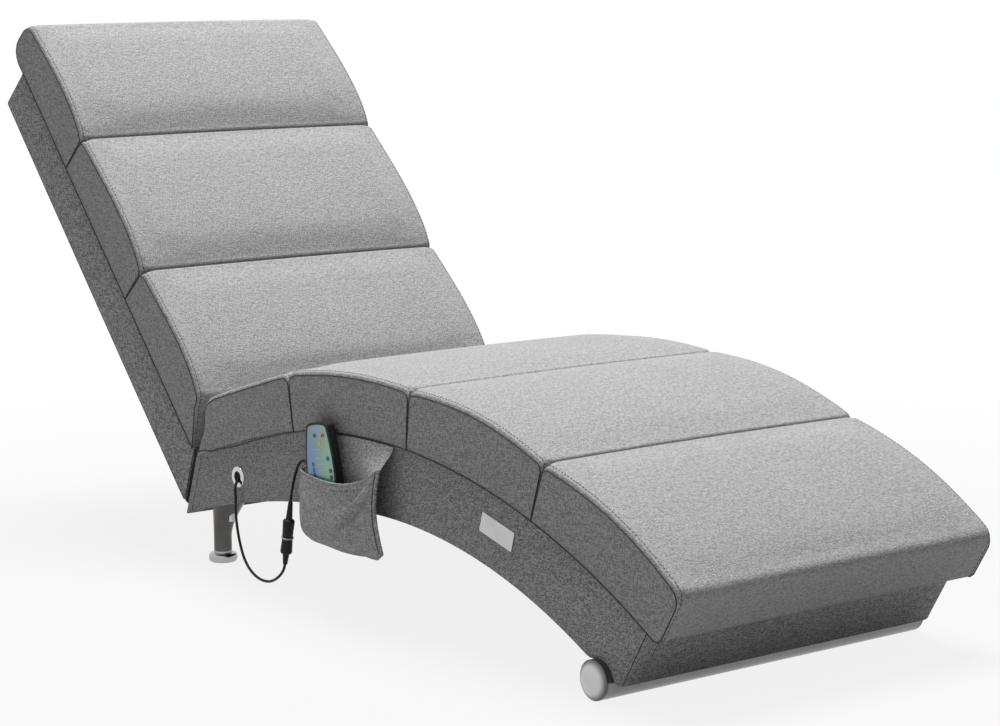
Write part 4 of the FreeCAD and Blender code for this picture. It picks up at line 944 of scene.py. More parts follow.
def run_length(points: Sequence[Pair]) -> float:
    """Length of a polyline."""
    return sum(math.dist(a, b) for a, b in zip(points, points[1:]))


def face_outwards(piece: bpy.types.Object) -> None:
    """Turn the faces of a closed mesh outwards."""
    work = bmesh.new()
    work.from_mesh(piece.data)
    bmesh.ops.recalc_face_normals(work, faces=work.faces)
    work.to_mesh(piece.data)
    work.free()
    piece.data.update()


@dataclass(frozen=True)
class FoamFill:
    """Swelling of a sewn pad by its foam, run as cloth under pressure."""

    pressure: float = 4.0
    frames: int = 20
    cap: float = 5.0
    quality: int = 6
    cloth_mass: float = 0.25
    pin: float = 0.6

    def swell(self, piece: bpy.types.Object, holds: dict[int, float], freedom: dict[int, float]) -> None:
        """Fill a pad and write the result into its mesh.

        Args:
            piece: closed cloth mesh.
            holds: how firmly some points are held, by point number.
            freedom: share of its move that a point keeps, by point number.
        """
        group = piece.vertex_groups.new(name="hold")
        for number, weight in sorted(holds.items()):
            group.add([number], weight, "REPLACE")
        cloth = piece.modifiers.new("fill", "CLOTH")
        cloth.settings.quality = self.quality
        cloth.settings.mass = self.cloth_mass
        cloth.settings.use_pressure = True
        cloth.settings.uniform_pressure_force = self.pressure
        cloth.settings.effector_weights.gravity = 0.0
        cloth.settings.vertex_group_mass = group.name
        cloth.settings.pin_stiffness = self.pin
        cloth.point_cache.frame_start = 1
        cloth.point_cache.frame_end = self.frames
        scene = bpy.context.scene
        for number in range(1, self.frames + 1):
            scene.frame_set(number)
        view = bpy.context.evaluated_depsgraph_get()
        swollen = piece.evaluated_get(view).data
        places = [vertex.co.copy() for vertex in swollen.vertices]
        piece.modifiers.clear()
        piece.vertex_groups.clear()
        scene.frame_set(1)
        cap = self.cap * MM
        most = 0.0
        for vertex, place in zip(piece.data.vertices, places):
            move = place - vertex.co
            if move.length > cap:
                move = move.normalized() * cap
            move *= freedom.get(vertex.index, 0.0)
            most = max(most, move.length)
            vertex.co = vertex.co + move
        log.info("%s swelled by up to %.1f mm", piece.name, most / MM)


def rope(name: str, lines: Sequence[Sequence[Vector]], radius: float, sides: int = 2) -> bpy.types.Object:
    """Round cords along lines, as one mesh.

    Args:
        name: the piece's name.
        lines: rows of points in metres.
        radius: radius of the cord in millimetres.
        sides: resolution of its round section.

    Returns:
        The mesh object.
    """
    path = round_path(name + "_path", lines, radius, sides, "POLY")
    data = path.data
    view = bpy.context.evaluated_depsgraph_get()
    mesh = bpy.data.meshes.new_from_object(path.evaluated_get(view))
    mesh.name = name
    mesh.shade_smooth()
    bpy.data.objects.remove(path)
    bpy.data.curves.remove(data)
    return add_object(name, mesh)


class Stitch(Enum):
    """Pitch, length and thickness of a row's stitches, in millimetres."""

    PAD = (6.0, 4.2, 1.2)
    COVER = (5.0, 3.8, 0.8)
    POCKET = (4.4, 3.2, 0.5)
    STAPLE = (42.0, 10.0, 1.1)


class Stitcher:
    """Rows of thread stitches, laid along lines by a node tree."""

    SIZES = ("Pitch", "Length", "Thickness")
    BEAD = {"Segments": 6, "Rings": 4, "Radius": 0.5}

    def __init__(self, material: bpy.types.Material) -> None:
        """Build the tree once."""
        self.material = material
        self.tree = self._tree()

    def _tree(self) -> bpy.types.NodeTree:
        """Tree with inputs for the pitch, the length and the thickness of a stitch."""
        tree = bpy.data.node_groups.new("stitches", "GeometryNodeTree")
        face = tree.interface
        face.new_socket(name="Lines", in_out="INPUT", socket_type="NodeSocketGeometry")
        for name in self.SIZES:
            face.new_socket(name=name, in_out="INPUT", socket_type="NodeSocketFloat")
        face.new_socket(name="Stitches", in_out="OUTPUT", socket_type="NodeSocketGeometry")
        kinds = {
            "start": "NodeGroupInput", "end": "NodeGroupOutput", "curve": "GeometryNodeMeshToCurve",
            "points": "GeometryNodeResampleCurve", "bead": "GeometryNodeMeshUVSphere",
            "tangent": "GeometryNodeInputTangent", "turn": "FunctionNodeAlignRotationToVector",
            "size": "ShaderNodeCombineXYZ", "copies": "GeometryNodeInstanceOnPoints",
            "real": "GeometryNodeRealizeInstances", "smooth": "GeometryNodeSetShadeSmooth",
            "paint": "GeometryNodeSetMaterial",
        }
        nodes = {name: tree.nodes.new(kind) for name, kind in kinds.items()}
        nodes["points"].mode = "LENGTH"
        nodes["turn"].axis = "Z"
        nodes["paint"].inputs["Material"].default_value = self.material
        for socket, value in self.BEAD.items():
            nodes["bead"].inputs[socket].default_value = value
        links = (
            ("start", "Lines", "curve", "Mesh"), ("curve", "Curve", "points", "Curve"),
            ("start", "Pitch", "points", "Length"), ("points", "Curve", "copies", "Points"),
            ("bead", "Mesh", "copies", "Instance"), ("tangent", "Tangent", "turn", "Vector"),
            ("turn", "Rotation", "copies", "Rotation"), ("start", "Thickness", "size", "X"),
            ("start", "Thickness", "size", "Y"), ("start", "Length", "size", "Z"),
            ("size", "Vector", "copies", "Scale"), ("copies", "Instances", "real", "Geometry"),
            ("real", "Geometry", "smooth", "Geometry"), ("smooth", "Geometry", "paint", "Geometry"),
            ("paint", "Geometry", "end", "Stitches"),
        )
        for source, out, target, into in links:
            tree.links.new(nodes[source].outputs[out], nodes[target].inputs[into])
        return tree

    def lay(self, name: str, lines: Sequence[Sequence[Vector]], stitch: Stitch) -> bpy.types.Object:
        """Lay stitches along lines.

        Args:
            name: the piece's name.
            lines: rows of points in metres.
            stitch: the kind of stitch.

        Returns:
            The stitches as a plain mesh object.
        """
        points: list[Vector] = []
        edges: list[tuple[int, int]] = []
        for line in lines:
            start = len(points)
            points += list(line)
            edges += [(start + k, start + k + 1) for k in range(len(line) - 1)]
        mesh = bpy.data.meshes.new(name)
        mesh.from_pydata(points, edges, [])
        piece = add_object(name, mesh)
        maker = piece.modifiers.new("stitches", "NODES")
        maker.node_group = self.tree
        values = {socket: size * MM for socket, size in zip(self.SIZES, stitch.value)}
        for item in self.tree.interface.items_tree:
            if item.name in values:
                maker[item.identifier] = values[item.name]
        return settle(piece)


@dataclass
class Finishes:
    """All materials of the chaise, by the record's slot."""

    by_slot: dict[str, bpy.types.Material] = field(default_factory=dict)
    by_node: dict[str, bpy.types.Material] = field(default_factory=dict)

    def make(self) -> "Finishes":
        """Build every finish once."""
        black = (0.013, 0.013, 0.014)
        makers = {
            # The pads' raised side contrast and the cover's raised contrast paint grazing light on the
            # weave.
            "pad_fabric": WovenCloth("pad_cloth", 0.28, 0.53, contrast=1.1, upright=2.4),
            "cover_fabric": WovenCloth("cover_cloth", 0.22, 0.56, contrast=1.6, lines=0.35),
            "dust_fabric": WovenCloth("dust_cloth", 0.012, 0.035, 0.002, 0.6, 0.97),
            "plywood": Timber("plywood", (0.68, 0.52, 0.34), (0.46, 0.31, 0.17)),
            "softwood": Timber("softwood", (0.76, 0.60, 0.38), (0.58, 0.40, 0.22)),
            "zinc_steel": Metal("zinc_steel", (0.60, 0.61, 0.63), 0.38, 0.06),
            "satin_steel": Metal("satin_steel", (0.21, 0.21, 0.21), 0.30, 0.10),
            # The dark chrome colour paints the dark reflections on the shaft; its pale foot paints the
            # floor's reflection on the disc.
            "chrome_plate": Metal("chrome_plate", (0.10, 0.096, 0.092), 0.26,
                                  foot=(0.42, 0.42, 0.42)),
            "nickel": Metal("nickel", (0.66, 0.65, 0.63), 0.14),
            "weight_brass": Metal("weight_brass", (0.72, 0.55, 0.26), 0.3, 0.05),
            "satin_plate": Metal("satin_plate", (0.56, 0.56, 0.56), 0.36, 0.12),
            "motor_plastic": Moulded("motor_plastic", (0.05, 0.05, 0.055)),
            "black_plastic": Moulded("black_plastic", black, 0.5, 0.15, 0.22),
            "circuit_board": Moulded("circuit_board", (0.03, 0.18, 0.07), 0.35),
            "overlay_film": PrintedFilm("overlay_film", (0.14, 0.34, 0.70), (0.36, 0.74, 0.46),
                                        -0.102, 0.024),
            "button_blue": Moulded("button_blue", (0.03, 0.13, 0.42), 0.3),
            "button_red": Moulded("button_red", (0.50, 0.05, 0.06), 0.3),
            "button_yellow": Moulded("button_yellow", (0.75, 0.66, 0.10), 0.3),
            "button_navy": Moulded("button_navy", (0.02, 0.05, 0.16), 0.3),
            "ring_plastic": Moulded("ring_plastic", (0.62, 0.62, 0.62), 0.35),
            "lead_rubber": Moulded("lead_rubber", (0.009, 0.009, 0.009), 0.5, 0.08, 0.22),
        }
        for slot, maker in makers.items():
            self.by_slot[slot] = maker.make()
        axis = ((TUBE_STATION - STATION_CENTRE) * MM, TUBE_RADIUS * MM)
        # The caps' dark rim colour is a painted reflection.
        self.by_node["foot_caps"] = TurnedCap("turned_cap_painted_rim", (0.52, 0.52, 0.52), (0.10, 0.10, 0.10), axis,
                                              TUBE_RADIUS * MM).make()
        return self


def press_in(piece: bpy.types.Object, rows: Sequence[Sequence[int]], depth: float, held: set[int]) -> None:
    """Draw rows of points into a filled cloth along its normals.

    Args:
        piece: the cloth.
        rows: point numbers.
        depth: how far they go in, in millimetres.
        held: points that stay.
    """
    normals = [vertex.normal.copy() for vertex in piece.data.vertices]
    for row in rows:
        for k in row:
            if k not in held:
                piece.data.vertices[k].co -= normals[k] * depth * MM
    piece.data.update()


def raised(piece: bpy.types.Object, row: Sequence[int], height: float) -> list[Vector]:
    """Points of a row lifted off a cloth by a height in millimetres."""
    vertices = piece.data.vertices
    return [vertices[k].co + vertices[k].normal * height * MM for k in row]


@dataclass
class Upholstery:
    """Seven pads with their welts, their top stitching, and dark cords painted as shade along their hems
    and in the back's creases.
    """

    finishes: Finishes
    stitcher: Stitcher
    pitch: float = (BASE_REAR_ARC - REAR_SETBACK + BASE_FRONT_ARC + CALF_OVERHANG) / SEAT_PADS
    gap: float = 0.5
    seat_thick: float = 84.0
    back_thick: float = 75.0
    back_length: float = BACK_LENGTH + HEAD_OVERHANG
    back_shares: Triple = (0.36, 0.333, 0.307)
    head_proud: float = 5.0
    rear_crown: float = 1.5
    rear_tilt: float = 7.0
    front_crown: float = 6.0
    back_crown: float = 10.5
    back_skew: float = 0.7
    wedge: float = 40.0
    rear_step: float = 2.0
    rear_hollow: float = -3.0
    fold_corner: float = 4.5
    crease_corners: Pair = (7.0, 3.5)
    tail_corner: float = 25.0
    calf_corner: float = 14.0
    calf_tuck: float = 11.0
    lumbar_corner: float = 12.0
    head_corner: float = 20.0
    head_growth: float = 2.0
    head_tuck: float = 26.0
    welt_sink: float = 0.9
    welt_lift: float = 0.35
    welt_radius: float = 0.8
    stitch_sink: float = 0.6
    stitch_lift: float = 0.25
    welt_hold: float = 0.92
    stitch_hold: float = 0.7
    end_hold: float = 0.95
    crease_radius: float = 1.4
    crease_depth: float = 4.2
    crease_inset: float = 13.0
    crease_swell: float = 2.0
    crease_steps: int = 40

    def seat_ends(self, index: int) -> Pair:
        """Deck lengths of a seat pad, counted from the rear pad."""
        rear = BASE_REAR_ARC - REAR_SETBACK - index * self.pitch
        return (rear - self.pitch + self.gap, rear - self.gap)

    def back_ends(self, index: int) -> Pair:
        """Lengths up the back of one of its pads, counted from the lumbar pad."""
        start = self.back_length * sum(self.back_shares[:index])
        proud = self.head_proud if index == len(self.back_shares) - 1 else 0.0
        end = start + self.back_length * self.back_shares[index] - self.gap + proud
        return (start + self.gap, end)

    def pads(self) -> list[SewnPad]:
        """The seven pads, from the rear seat pad to the foot, then up the back."""
        seat, rear, front = self.seat_thick, self.rear_crown, self.front_crown
        fold = self.fold_corner
        low, high = self.crease_corners
        upright = {"thick": self.back_thick, "crown": self.back_crown, "skew": self.back_skew}
        return [
            SewnPad("pad_seat_rear", deck, self.seat_ends(0), seat - self.rear_step, self.rear_hollow,
                    (0.0, self.wedge), (fold, self.tail_corner), tilt=self.rear_tilt, hem=rear_hem),
            SewnPad("pad_seat", deck, self.seat_ends(1), seat, rear, corners=(fold, fold), hem=rear_hem),
            SewnPad("pad_thigh", deck, self.seat_ends(2), seat, front, corners=(fold, fold)),
            SewnPad("pad_calf", deck, self.seat_ends(3), seat, front, corners=(self.calf_corner, fold),
                    low_round=self.calf_tuck),
            SewnPad("pad_lumbar", back, self.back_ends(0), leans=(self.wedge, 0.0),
                    corners=(self.lumbar_corner, high), **upright),
            SewnPad("pad_back", back, self.back_ends(1), corners=(low, high), **upright),
            SewnPad("pad_head", back, self.back_ends(2), corners=(low, self.head_corner),
                    corner_growth=self.head_growth, high_round=self.head_tuck, **upright),
        ]

    def build(self) -> None:
        """Sew, fill and dress every pad, then lay the stitches, the welts, and the dark cords of painted
        shade at the hems and in the creases.
        """
        stitches: list[list[Vector]] = []
        welts: list[list[Vector]] = []
        for pad in self.pads():
            piece = pad.sew()
            holds = {k: self.end_hold for k in pad.end_points()}
            for k in itertools.chain(*pad.stitch_rows()):
                holds.setdefault(k, self.stitch_hold)
            holds.update({k: self.welt_hold for row in pad.welts() for k in row})
            holds.update({k: 1.0 for k in pad.under})
            FoamFill().swell(piece, holds, pad.freedom)
            press_in(piece, pad.welts(), self.welt_sink, pad.under)
            press_in(piece, pad.stitch_rows(), self.stitch_sink, pad.under)
            stitches += [raised(piece, row, self.stitch_lift) for row in pad.stitch_rows()]
            # The hem cords are painted shade of the line between the pads and the base.
            welts += [raised(piece, row, self.welt_lift) for row in pad.welts() + pad.hems()]
            subdivide(piece)
            dress(piece, self.finishes.by_slot["pad_fabric"], CHAIR)
            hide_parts(pad.node)
        thread = self.stitcher.material
        dress(self.stitcher.lay("pad_stitches", stitches, Stitch.PAD), thread, CHAIR)
        dress(rope("pad_welts_and_hem_shade", welts, self.welt_radius), thread, CHAIR)
        # Dark cords in the back's creases are painted shade.
        creases = [self.crease_shade_line(index) for index in range(1, len(self.back_shares))]
        dress(rope("back_crease_shade", creases, self.crease_radius), thread, CHAIR)

    def crease_shade_line(self, index: int) -> list[Vector]:
        """Dark cord deep in the crease below a back pad, painted shade of the crease."""
        along = self.back_length * sum(self.back_shares[:index])
        reach = CUSHION_HALF - self.crease_inset
        line = []
        for k in range(self.crease_steps + 1):
            x = reach * (2 * k / self.crease_steps - 1)
            swell = self.crease_swell * math.cos(math.pi / 2 * x / CUSHION_HALF)
            line.append(spot(x, back(along, self.back_thick + swell - self.crease_depth)))
        return line


@dataclass
class BaseSkirt:
    """Cloth skirt round the base: two arched sides, a front and a rear wall, turned under at the foot."""

    finishes: Finishes
    stitcher: Stitcher
    corner: float = 5.0
    side_step: float = 15.0
    wall_step: float = 22.0
    corner_shares: Triple = (0.25, 0.5, 0.75)
    tube_gap: float = 0.4
    ripple_grain: float = 9.0
    ripple: float = 0.6
    seam_rows: tuple[int, int] = (2, 12)
    seam_sink: float = 0.9
    seam_lift: float = 0.3
    seam_radius: float = 0.6
    seam_match: float = 0.01
    stitch_offset: int = 3
    rows: tuple[Triple, ...] = (
        (0.0, 0.0, 0.6), (0.0, 1.2, 0.2), (0.0, 3.4, 0.0), (0.0, 7.0, 0.0), (0.16, 3.0, 0.0),
        (0.32, 0.0, 0.0), (0.48, 0.0, 0.0), (0.64, 0.0, 0.0), (0.8, 0.0, 0.0), (0.92, 0.0, 0.0),
        (1.0, -1.0, 0.0),
        (1.0, 1.4, 0.4), (1.0, 2.4, 1.6), (1.0, 2.4, 6.0), (1.0, 1.5, 14.0), (1.0, -4.0, 14.0),
    )

    def __post_init__(self) -> None:
        """Work out the corners of the side profile."""
        angle = BASE_FRONT_ARC / DECK_RADIUS
        self.length = BASE_REAR_ARC + BASE_FRONT_ARC
        fall = (math.sin(angle), -math.cos(angle))
        front = deck(-BASE_FRONT_ARC)
        self.front_foot = front[0] + fall[0] * (front[1] - FRONT_FOOT_HEIGHT) / -fall[1]
        self.rear_foot = self._foot(deck(BASE_REAR_ARC), SLIT_DOWN, ARCH_REAR_RADIUS)

    def _foot(self, top: Pair, way: Pair, radius: float) -> float:
        """Station where a wall's line comes down on the arch."""
        centre = (ARCH_STATION, ARCH_HEIGHT - radius)
        off = (top[0] - centre[0], top[1] - centre[1])
        half = off[0] * way[0] + off[1] * way[1]
        rest = off[0] ** 2 + off[1] ** 2 - radius ** 2
        reach = -half - math.sqrt(half ** 2 - rest)
        return top[0] + way[0] * reach

    def _ring(self) -> list[tuple[float, float, float, float]]:
        """Samples once round the base: x, length from the rear, and the outward way of each."""
        half, turn, length = BASE_HALF, self.corner, self.length
        sides = round((length - 2 * turn) / self.side_step)
        walls = round((2 * half - 2 * turn) / self.wall_step)
        run, breadth = length - 2 * turn, 2 * half - 2 * turn
        left = [(-half, turn + run * k / sides, -1.0, 0.0) for k in range(sides + 1)]
        front = [(-half + turn + breadth * k / walls, length, 0.0, 1.0) for k in range(walls + 1)]
        right = [(half, length - along, 1.0, 0.0) for _, along, _, _ in left]
        rear = [(-x, 0.0, 0.0, -1.0) for x, _, _, _ in front]
        ring = left + self._corner(-1, 1, False) + front + self._corner(1, 1, True)
        return ring + right + self._corner(1, -1, False) + rear + self._corner(-1, -1, True)

    def _corner(self, hand: int, end: int, from_wall: bool) -> list[tuple[float, float, float, float]]:
        """Samples inside one rounded corner, without its two ends."""
        turn = self.corner
        centre_x = hand * (BASE_HALF - turn)
        centre_along = self.length - turn if end > 0 else turn
        samples = []
        for share in self.corner_shares[::-1] if from_wall else self.corner_shares:
            angle = math.pi / 2 * share
            out_x, out_along = hand * math.cos(angle), end * math.sin(angle)
            samples.append((centre_x + out_x * turn, centre_along + out_along * turn, out_x, out_along))
        return samples

    def _place(self, x: float, along: float, share: float, extra: float, sideways: float) -> Vector:
        """Point of the skirt at a share of its height."""
        top = deck(BASE_REAR_ARC - along)
        top = (top[0], top[1] + max(0.0, rear_hem(top[0])) * sideways)
        station = self.rear_foot + (self.front_foot - self.rear_foot) * along / self.length
        low = (station, max(FRONT_FOOT_HEIGHT, arch(station)[1]))
        tall = math.dist(top, low)
        part = share + extra / tall
        station = top[0] + (low[0] - top[0]) * part
        height = top[1] + (low[1] - top[1]) * part
        tube = (TUBE_STATION, TUBE_RADIUS)
        gap = math.dist((station, height), tube)
        clear = TUBE_RADIUS + self.tube_gap
        if gap < clear:
            station = tube[0] + (station - tube[0]) * clear / gap
            height = tube[1] + (height - tube[1]) * clear / gap
        return spot(x, (station, height))

    def build(self) -> None:
        """Sew the skirt and stitch its four upright seams."""
        sewing = Sewing()
        ring = self._ring()
        grid: list[list[int]] = []
        cloth: list[list[Pair]] = []
        for share, extra, inset in self.rows:
            ids, marks, girth = [], [], 0.0
            last = None
            for x, along, out_x, out_along in ring:
                inner = (x - out_x * inset, along - out_along * inset)
                place = self._place(*inner, share, extra, abs(out_x))
                if inset == 0.0:
                    place.x += out_x * (noise.noise(place * self.ripple_grain) * self.ripple * MM)
                if last is not None:
                    girth += math.dist(last, (x, along)) * MM
                last = (x, along)
                ids.append(sewing.point(place))
                marks.append((girth, place.z))
            ids.append(ids[0])
            marks.append((girth + self.corner * MM, marks[0][1]))
            grid.append(ids)
            cloth.append(marks)
        sewing.grid(grid, cloth, flip=True)
        piece = sewing.build("base_cover_skirt")
        seams = [k for k, sample in enumerate(ring)
                 if abs(abs(sample[2]) - abs(sample[3])) < self.seam_match]
        rows = grid[slice(*self.seam_rows)]
        lines = [[row[k] for row in rows] for k in seams]
        press_in(piece, lines, self.seam_sink, set())
        welts = [raised(piece, line, self.seam_lift) for line in lines]
        thread = self.stitcher.material
        stitched = [[row[(k + self.stitch_offset) % len(ring)] for row in rows] for k in seams]
        marks = [raised(piece, line, self.seam_lift) for line in stitched]
        subdivide(piece)
        dress(piece, self.finishes.by_slot["cover_fabric"], CHAIR)
        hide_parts("base_cover")
        dress(rope("base_seams", welts, self.seam_radius), thread, CHAIR)
        dress(self.stitcher.lay("base_stitches", marks, Stitch.COVER), thread, CHAIR)


@dataclass
class EyeletShadeDisc:
    """Dark disc in the eyelet, painted shade of its bore where the lead comes out of the base."""

    finishes: Finishes
    station: float = 818.0
    height: float = 157.0
    radius: float = 8.4
    proud: float = 0.9
    hollow: float = 0.5
    sides: int = 32

    def build(self) -> None:
        """Close the bore with a dark, slightly hollow disc."""
        turn = [2 * math.pi * k / self.sides for k in range(self.sides)]
        x = -BASE_HALF - self.proud
        centre = (self.station, self.height)
        ring = [shift(centre, (math.cos(a), math.sin(a)), self.radius) for a in turn]
        points = [spot(x + self.hollow, centre)] + [spot(x, point) for point in ring]
        faces = [(0, 1 + k, 1 + (k + 1) % self.sides) for k in range(self.sides)]
        piece = flat_piece("eyelet_painted_shade", points, faces, leftward=True)
        dress(piece, self.finishes.by_slot["dust_fabric"], CHAIR)


@dataclass
class SlitShadeStrips:
    """Black strips that close the slit between the base and the back, one at each side, painted shade of
    the gap.
    """

    finishes: Finishes
    inset: float = 2.5
    length: float = 88.0
    start: float = -8.0
    steps: int = 8

    def build(self) -> None:
        """Hang the two strips."""
        points, faces = [], []
        for hand in (-1, 1):
            first = len(points)
            for k in range(self.steps + 1):
                level = shift(deck(BASE_REAR_ARC), SLIT_DOWN, self.start + self.length * k / self.steps)
                x = hand * (BASE_HALF - self.inset)
                points += [spot(x, level), spot(x, shift(level, SLIT_OUT, BACK_GAP))]
            rows = range(first, first + 2 * self.steps, 2)
            faces += [(k, k + 1, k + 3, k + 2)[::hand] for k in rows]
        piece = flat_piece("slit_painted_shade", points, faces)
        dress(piece, self.finishes.by_slot["dust_fabric"], CHAIR)


@dataclass
class BackShell:
    """Cloth cover of the back unit, with welts round its two sides."""

    finishes: Finishes
    stitcher: Stitcher
    length: float = BACK_LENGTH
    depth: float = 80.0
    crown: float = 1.0
    corner: float = 4.0
    edge_band: float = 5.0
    edge_drop: float = 0.6
    step: float = 14.0
    seam_sink: float = 1.0
    seam_lift: float = 0.3
    seam_radius: float = 0.6
    stitch_lift: float = 0.2

    def build(self) -> None:
        """Sew the cover and lay its welts."""
        run = self.depth / -(SLIT_DOWN[0] * NORMAL[0] + SLIT_DOWN[1] * NORMAL[1])
        down = run * (SLIT_DOWN[0] * SLOPE[0] + SLIT_DOWN[1] * SLOPE[1])
        shape = SewnPad("back_cover", lambda along, height: back(along, -height), (0.0, self.length),
                        self.depth, self.crown, (down, 0.0), (self.corner, self.corner), half=BASE_HALF,
                        crown_across=self.crown, edge_band=self.edge_band, edge_drop=self.edge_drop,
                        notch=0.0, crease=0.0, corner_growth=0.0, step=self.step)
        piece = shape.sew()
        press_in(piece, shape.welts(), self.seam_sink, shape.under)
        welts = [raised(piece, row, self.seam_lift) for row in shape.welts()]
        stitches = [raised(piece, row, self.stitch_lift) for row in shape.stitch_rows()]
        subdivide(piece)
        dress(piece, self.finishes.by_slot["cover_fabric"], CHAIR)
        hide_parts("back_cover")
        thread = self.stitcher.material
        dress(rope("back_seams", welts, self.seam_radius), thread, CHAIR)
        dress(self.stitcher.lay("back_stitches", stitches, Stitch.COVER), thread, CHAIR)


@dataclass
class SidePocket:
    """Hanging cloth pocket: a back sheet sewn under the pads and a baggy front with a hemmed mouth."""

    finishes: Finishes
    stitcher: Stitcher
    columns: int = 44
    rows: int = 30
    back_rows: int = 40
    sheet: float = 1.2
    wall: float = -273.2
    stand_off: float = 1.4
    right_seam: float = -297.0
    left_stations: Pair = (644.0, 639.0)
    right_stations: Pair = (424.0, 430.0)
    right_bow: float = 13.0
    flap_station: float = 428.0
    deck_gap: float = 2.0
    mouth_share: float = 0.74
    seam_edge_share: float = 0.999
    seam_share: float = 0.97
    belly_powers: Pair = (0.36, 0.74)
    belly_shares: Pair = (0.4, 0.5)
    turn_shares: Pair = (0.72, 0.28)
    stand_shares: Triple = (0.55, 0.45, 0.1)
    edge_rates: Pair = (6.0, 5.0)
    hang_rate: float = 4.0
    fold_fade: float = 0.75
    front_grain: Triple = (5.0, 4.0, 2.0)
    front_ripple: float = 2.4
    back_grain: Triple = (4.0, 5.0, 7.0)
    back_ripple: float = 0.7
    hem_row: int = -4
    hem_lift: float = 1.3
    lip_radius: float = 1.5
    piping_lift: Pair = (1.6, 1.0)
    piping_radius: float = 2.5
    groove_shade_lift: float = 0.9
    groove_shade_radius: float = 0.5
    foot_radius: float = 1.3
    mouth: tuple[Pair, ...] = (
        (0.0, 198.0), (0.2, 196.5), (0.45, 195.0), (0.65, 197.5), (0.85, 210.0), (1.0, 229.0),
    )
    floor: tuple[Pair, ...] = (
        (0.0, 113.0), (0.05, 103.0), (0.12, 98.5), (0.28, 97.0), (0.5, 95.0), (0.75, 98.5), (0.93, 104.0),
        (1.0, 113.0),
    )
    bulges: tuple[Pair, ...] = (
        (0.0, 5.0), (0.06, 18.0), (0.15, 26.0), (0.3, 30.0), (0.6, 31.0), (1.0, 30.0),
    )
    folds: tuple[tuple[float, float, float, float, float, float], ...] = (
        (0.94, 0.9, 0.5, 0.42, 0.03, 9.0), (0.9, 0.76, 0.55, 0.34, 0.032, -7.0),
        (0.94, 0.62, 0.68, 0.38, 0.034, 6.0), (0.92, 0.34, 0.66, 0.2, 0.045, 6.0),
        (0.03, 0.8, 0.3, 0.45, 0.06, 1.4), (0.2, 0.12, 0.55, 0.3, 0.05, 1.6),
        (0.8, 0.06, 0.72, 0.3, 0.05, -1.5),
    )

    def _curve(self, table: Sequence[Pair], share: float) -> float:
        """Value of a table at a share, on a smooth line through its rows."""
        last = len(table) - 1
        row = next((k for k in range(last) if share <= table[k + 1][0]), last - 1)
        slopes = []
        for k in (row, row + 1):
            (s0, v0), (s1, v1) = table[max(0, k - 1)], table[min(last, k + 1)]
            slopes.append((v1 - v0) / (s1 - s0))
        (s0, v0), (s1, v1) = table[row], table[row + 1]
        run = s1 - s0
        t = min(1.0, max(0.0, (share - s0) / run))
        bend = (slopes[0] * (1 - t) - slopes[1] * t) * run + (v1 - v0) * (2 * t - 1)
        return v0 + (v1 - v0) * t + t * (1 - t) * bend

    def _left(self, v: float) -> float:
        """Station of the left-hand seam."""
        low, high = self.left_stations
        return low + (high - low) * v

    def _right(self, v: float) -> float:
        """Station of the right-hand seam, which bows in between its foot and the mouth."""
        low, high = self.right_stations
        return low + (high - low) * v + self.right_bow * math.sin(math.pi * v)

    def _fold(self, u: float, v: float) -> float:
        """Depth of the folds at a place of the front sheet."""
        total = 0.0
        for u0, v0, u1, v1, width, depth in self.folds:
            run = (u1 - u0, v1 - v0)
            share = ((u - u0) * run[0] + (v - v0) * run[1]) / (run[0] ** 2 + run[1] ** 2)
            clamped = min(1.0, max(0.0, share))
            gap = math.hypot(u - u0 - run[0] * clamped, v - v0 - run[1] * clamped)
            total += depth * math.exp(-(gap / width) ** 2) * (1 - self.fold_fade * clamped)
        return total

    def _front(self, u: float, v: float) -> Vector:
        """Point of the front sheet, u from its left seam to its right, v from its foot to its mouth."""
        left, right = self._left(v), self._right(v)
        low = self._curve(self.floor, u)
        height = low + (self._curve(self.mouth, u) - low) * v
        least, more = self.belly_powers
        start, run = self.belly_shares
        power = least + more * ease((u - start) / run)
        belly = self._curve(self.bulges, v) * max(0.0, math.sin(math.pi * u)) ** power
        sides, foot = self.edge_rates
        edge = min(1.0, sides * u, sides * (1 - u), foot * v)
        grain = self.front_grain
        ripple = abs(noise.noise(Vector((u * grain[0], v * grain[1], grain[2])))) * self.front_ripple
        start, run = self.turn_shares
        base = self.wall - self.stand_off + (self.right_seam - self.wall) * ease((u - start) / run)
        return spot(base - belly - (self._fold(u, v) + ripple) * edge, (left + (right - left) * u, height))

    def _back(self, u: float, v: float) -> Vector:
        """Point of the back sheet, v from its foot to the line under the pads."""
        pinch = self.mouth_share
        top = self.right_stations[1]
        if v < pinch:
            right = self._right(v / pinch)
        else:
            right = top + (self.flap_station - top) * (v - pinch) / (1 - pinch)
        left = self._left(min(1.0, v / pinch))
        station = left + (right - left) * u
        rise = math.sqrt((DECK_RADIUS - self.deck_gap) ** 2 - (station - CREST_STATION) ** 2)
        crest = CREST_HEIGHT - DECK_RADIUS + rise
        low = self._curve(self.floor, u)
        start, run, rest = self.stand_shares
        stand = ease((u - start) / run) * (1 - ease((v - pinch) / (1 - pinch))) + rest * ease(u)
        grain = self.back_grain
        ripple = noise.noise(Vector((u * grain[0], v * grain[1], grain[2]))) * self.back_ripple
        ripple *= ease(self.hang_rate * (1 - v))
        seam = 1.0 if u > self.seam_edge_share else self.seam_share
        x = self.wall + (self.right_seam - self.wall) * stand * seam + ripple
        return spot(x, (station, low + (crest - low) * v))

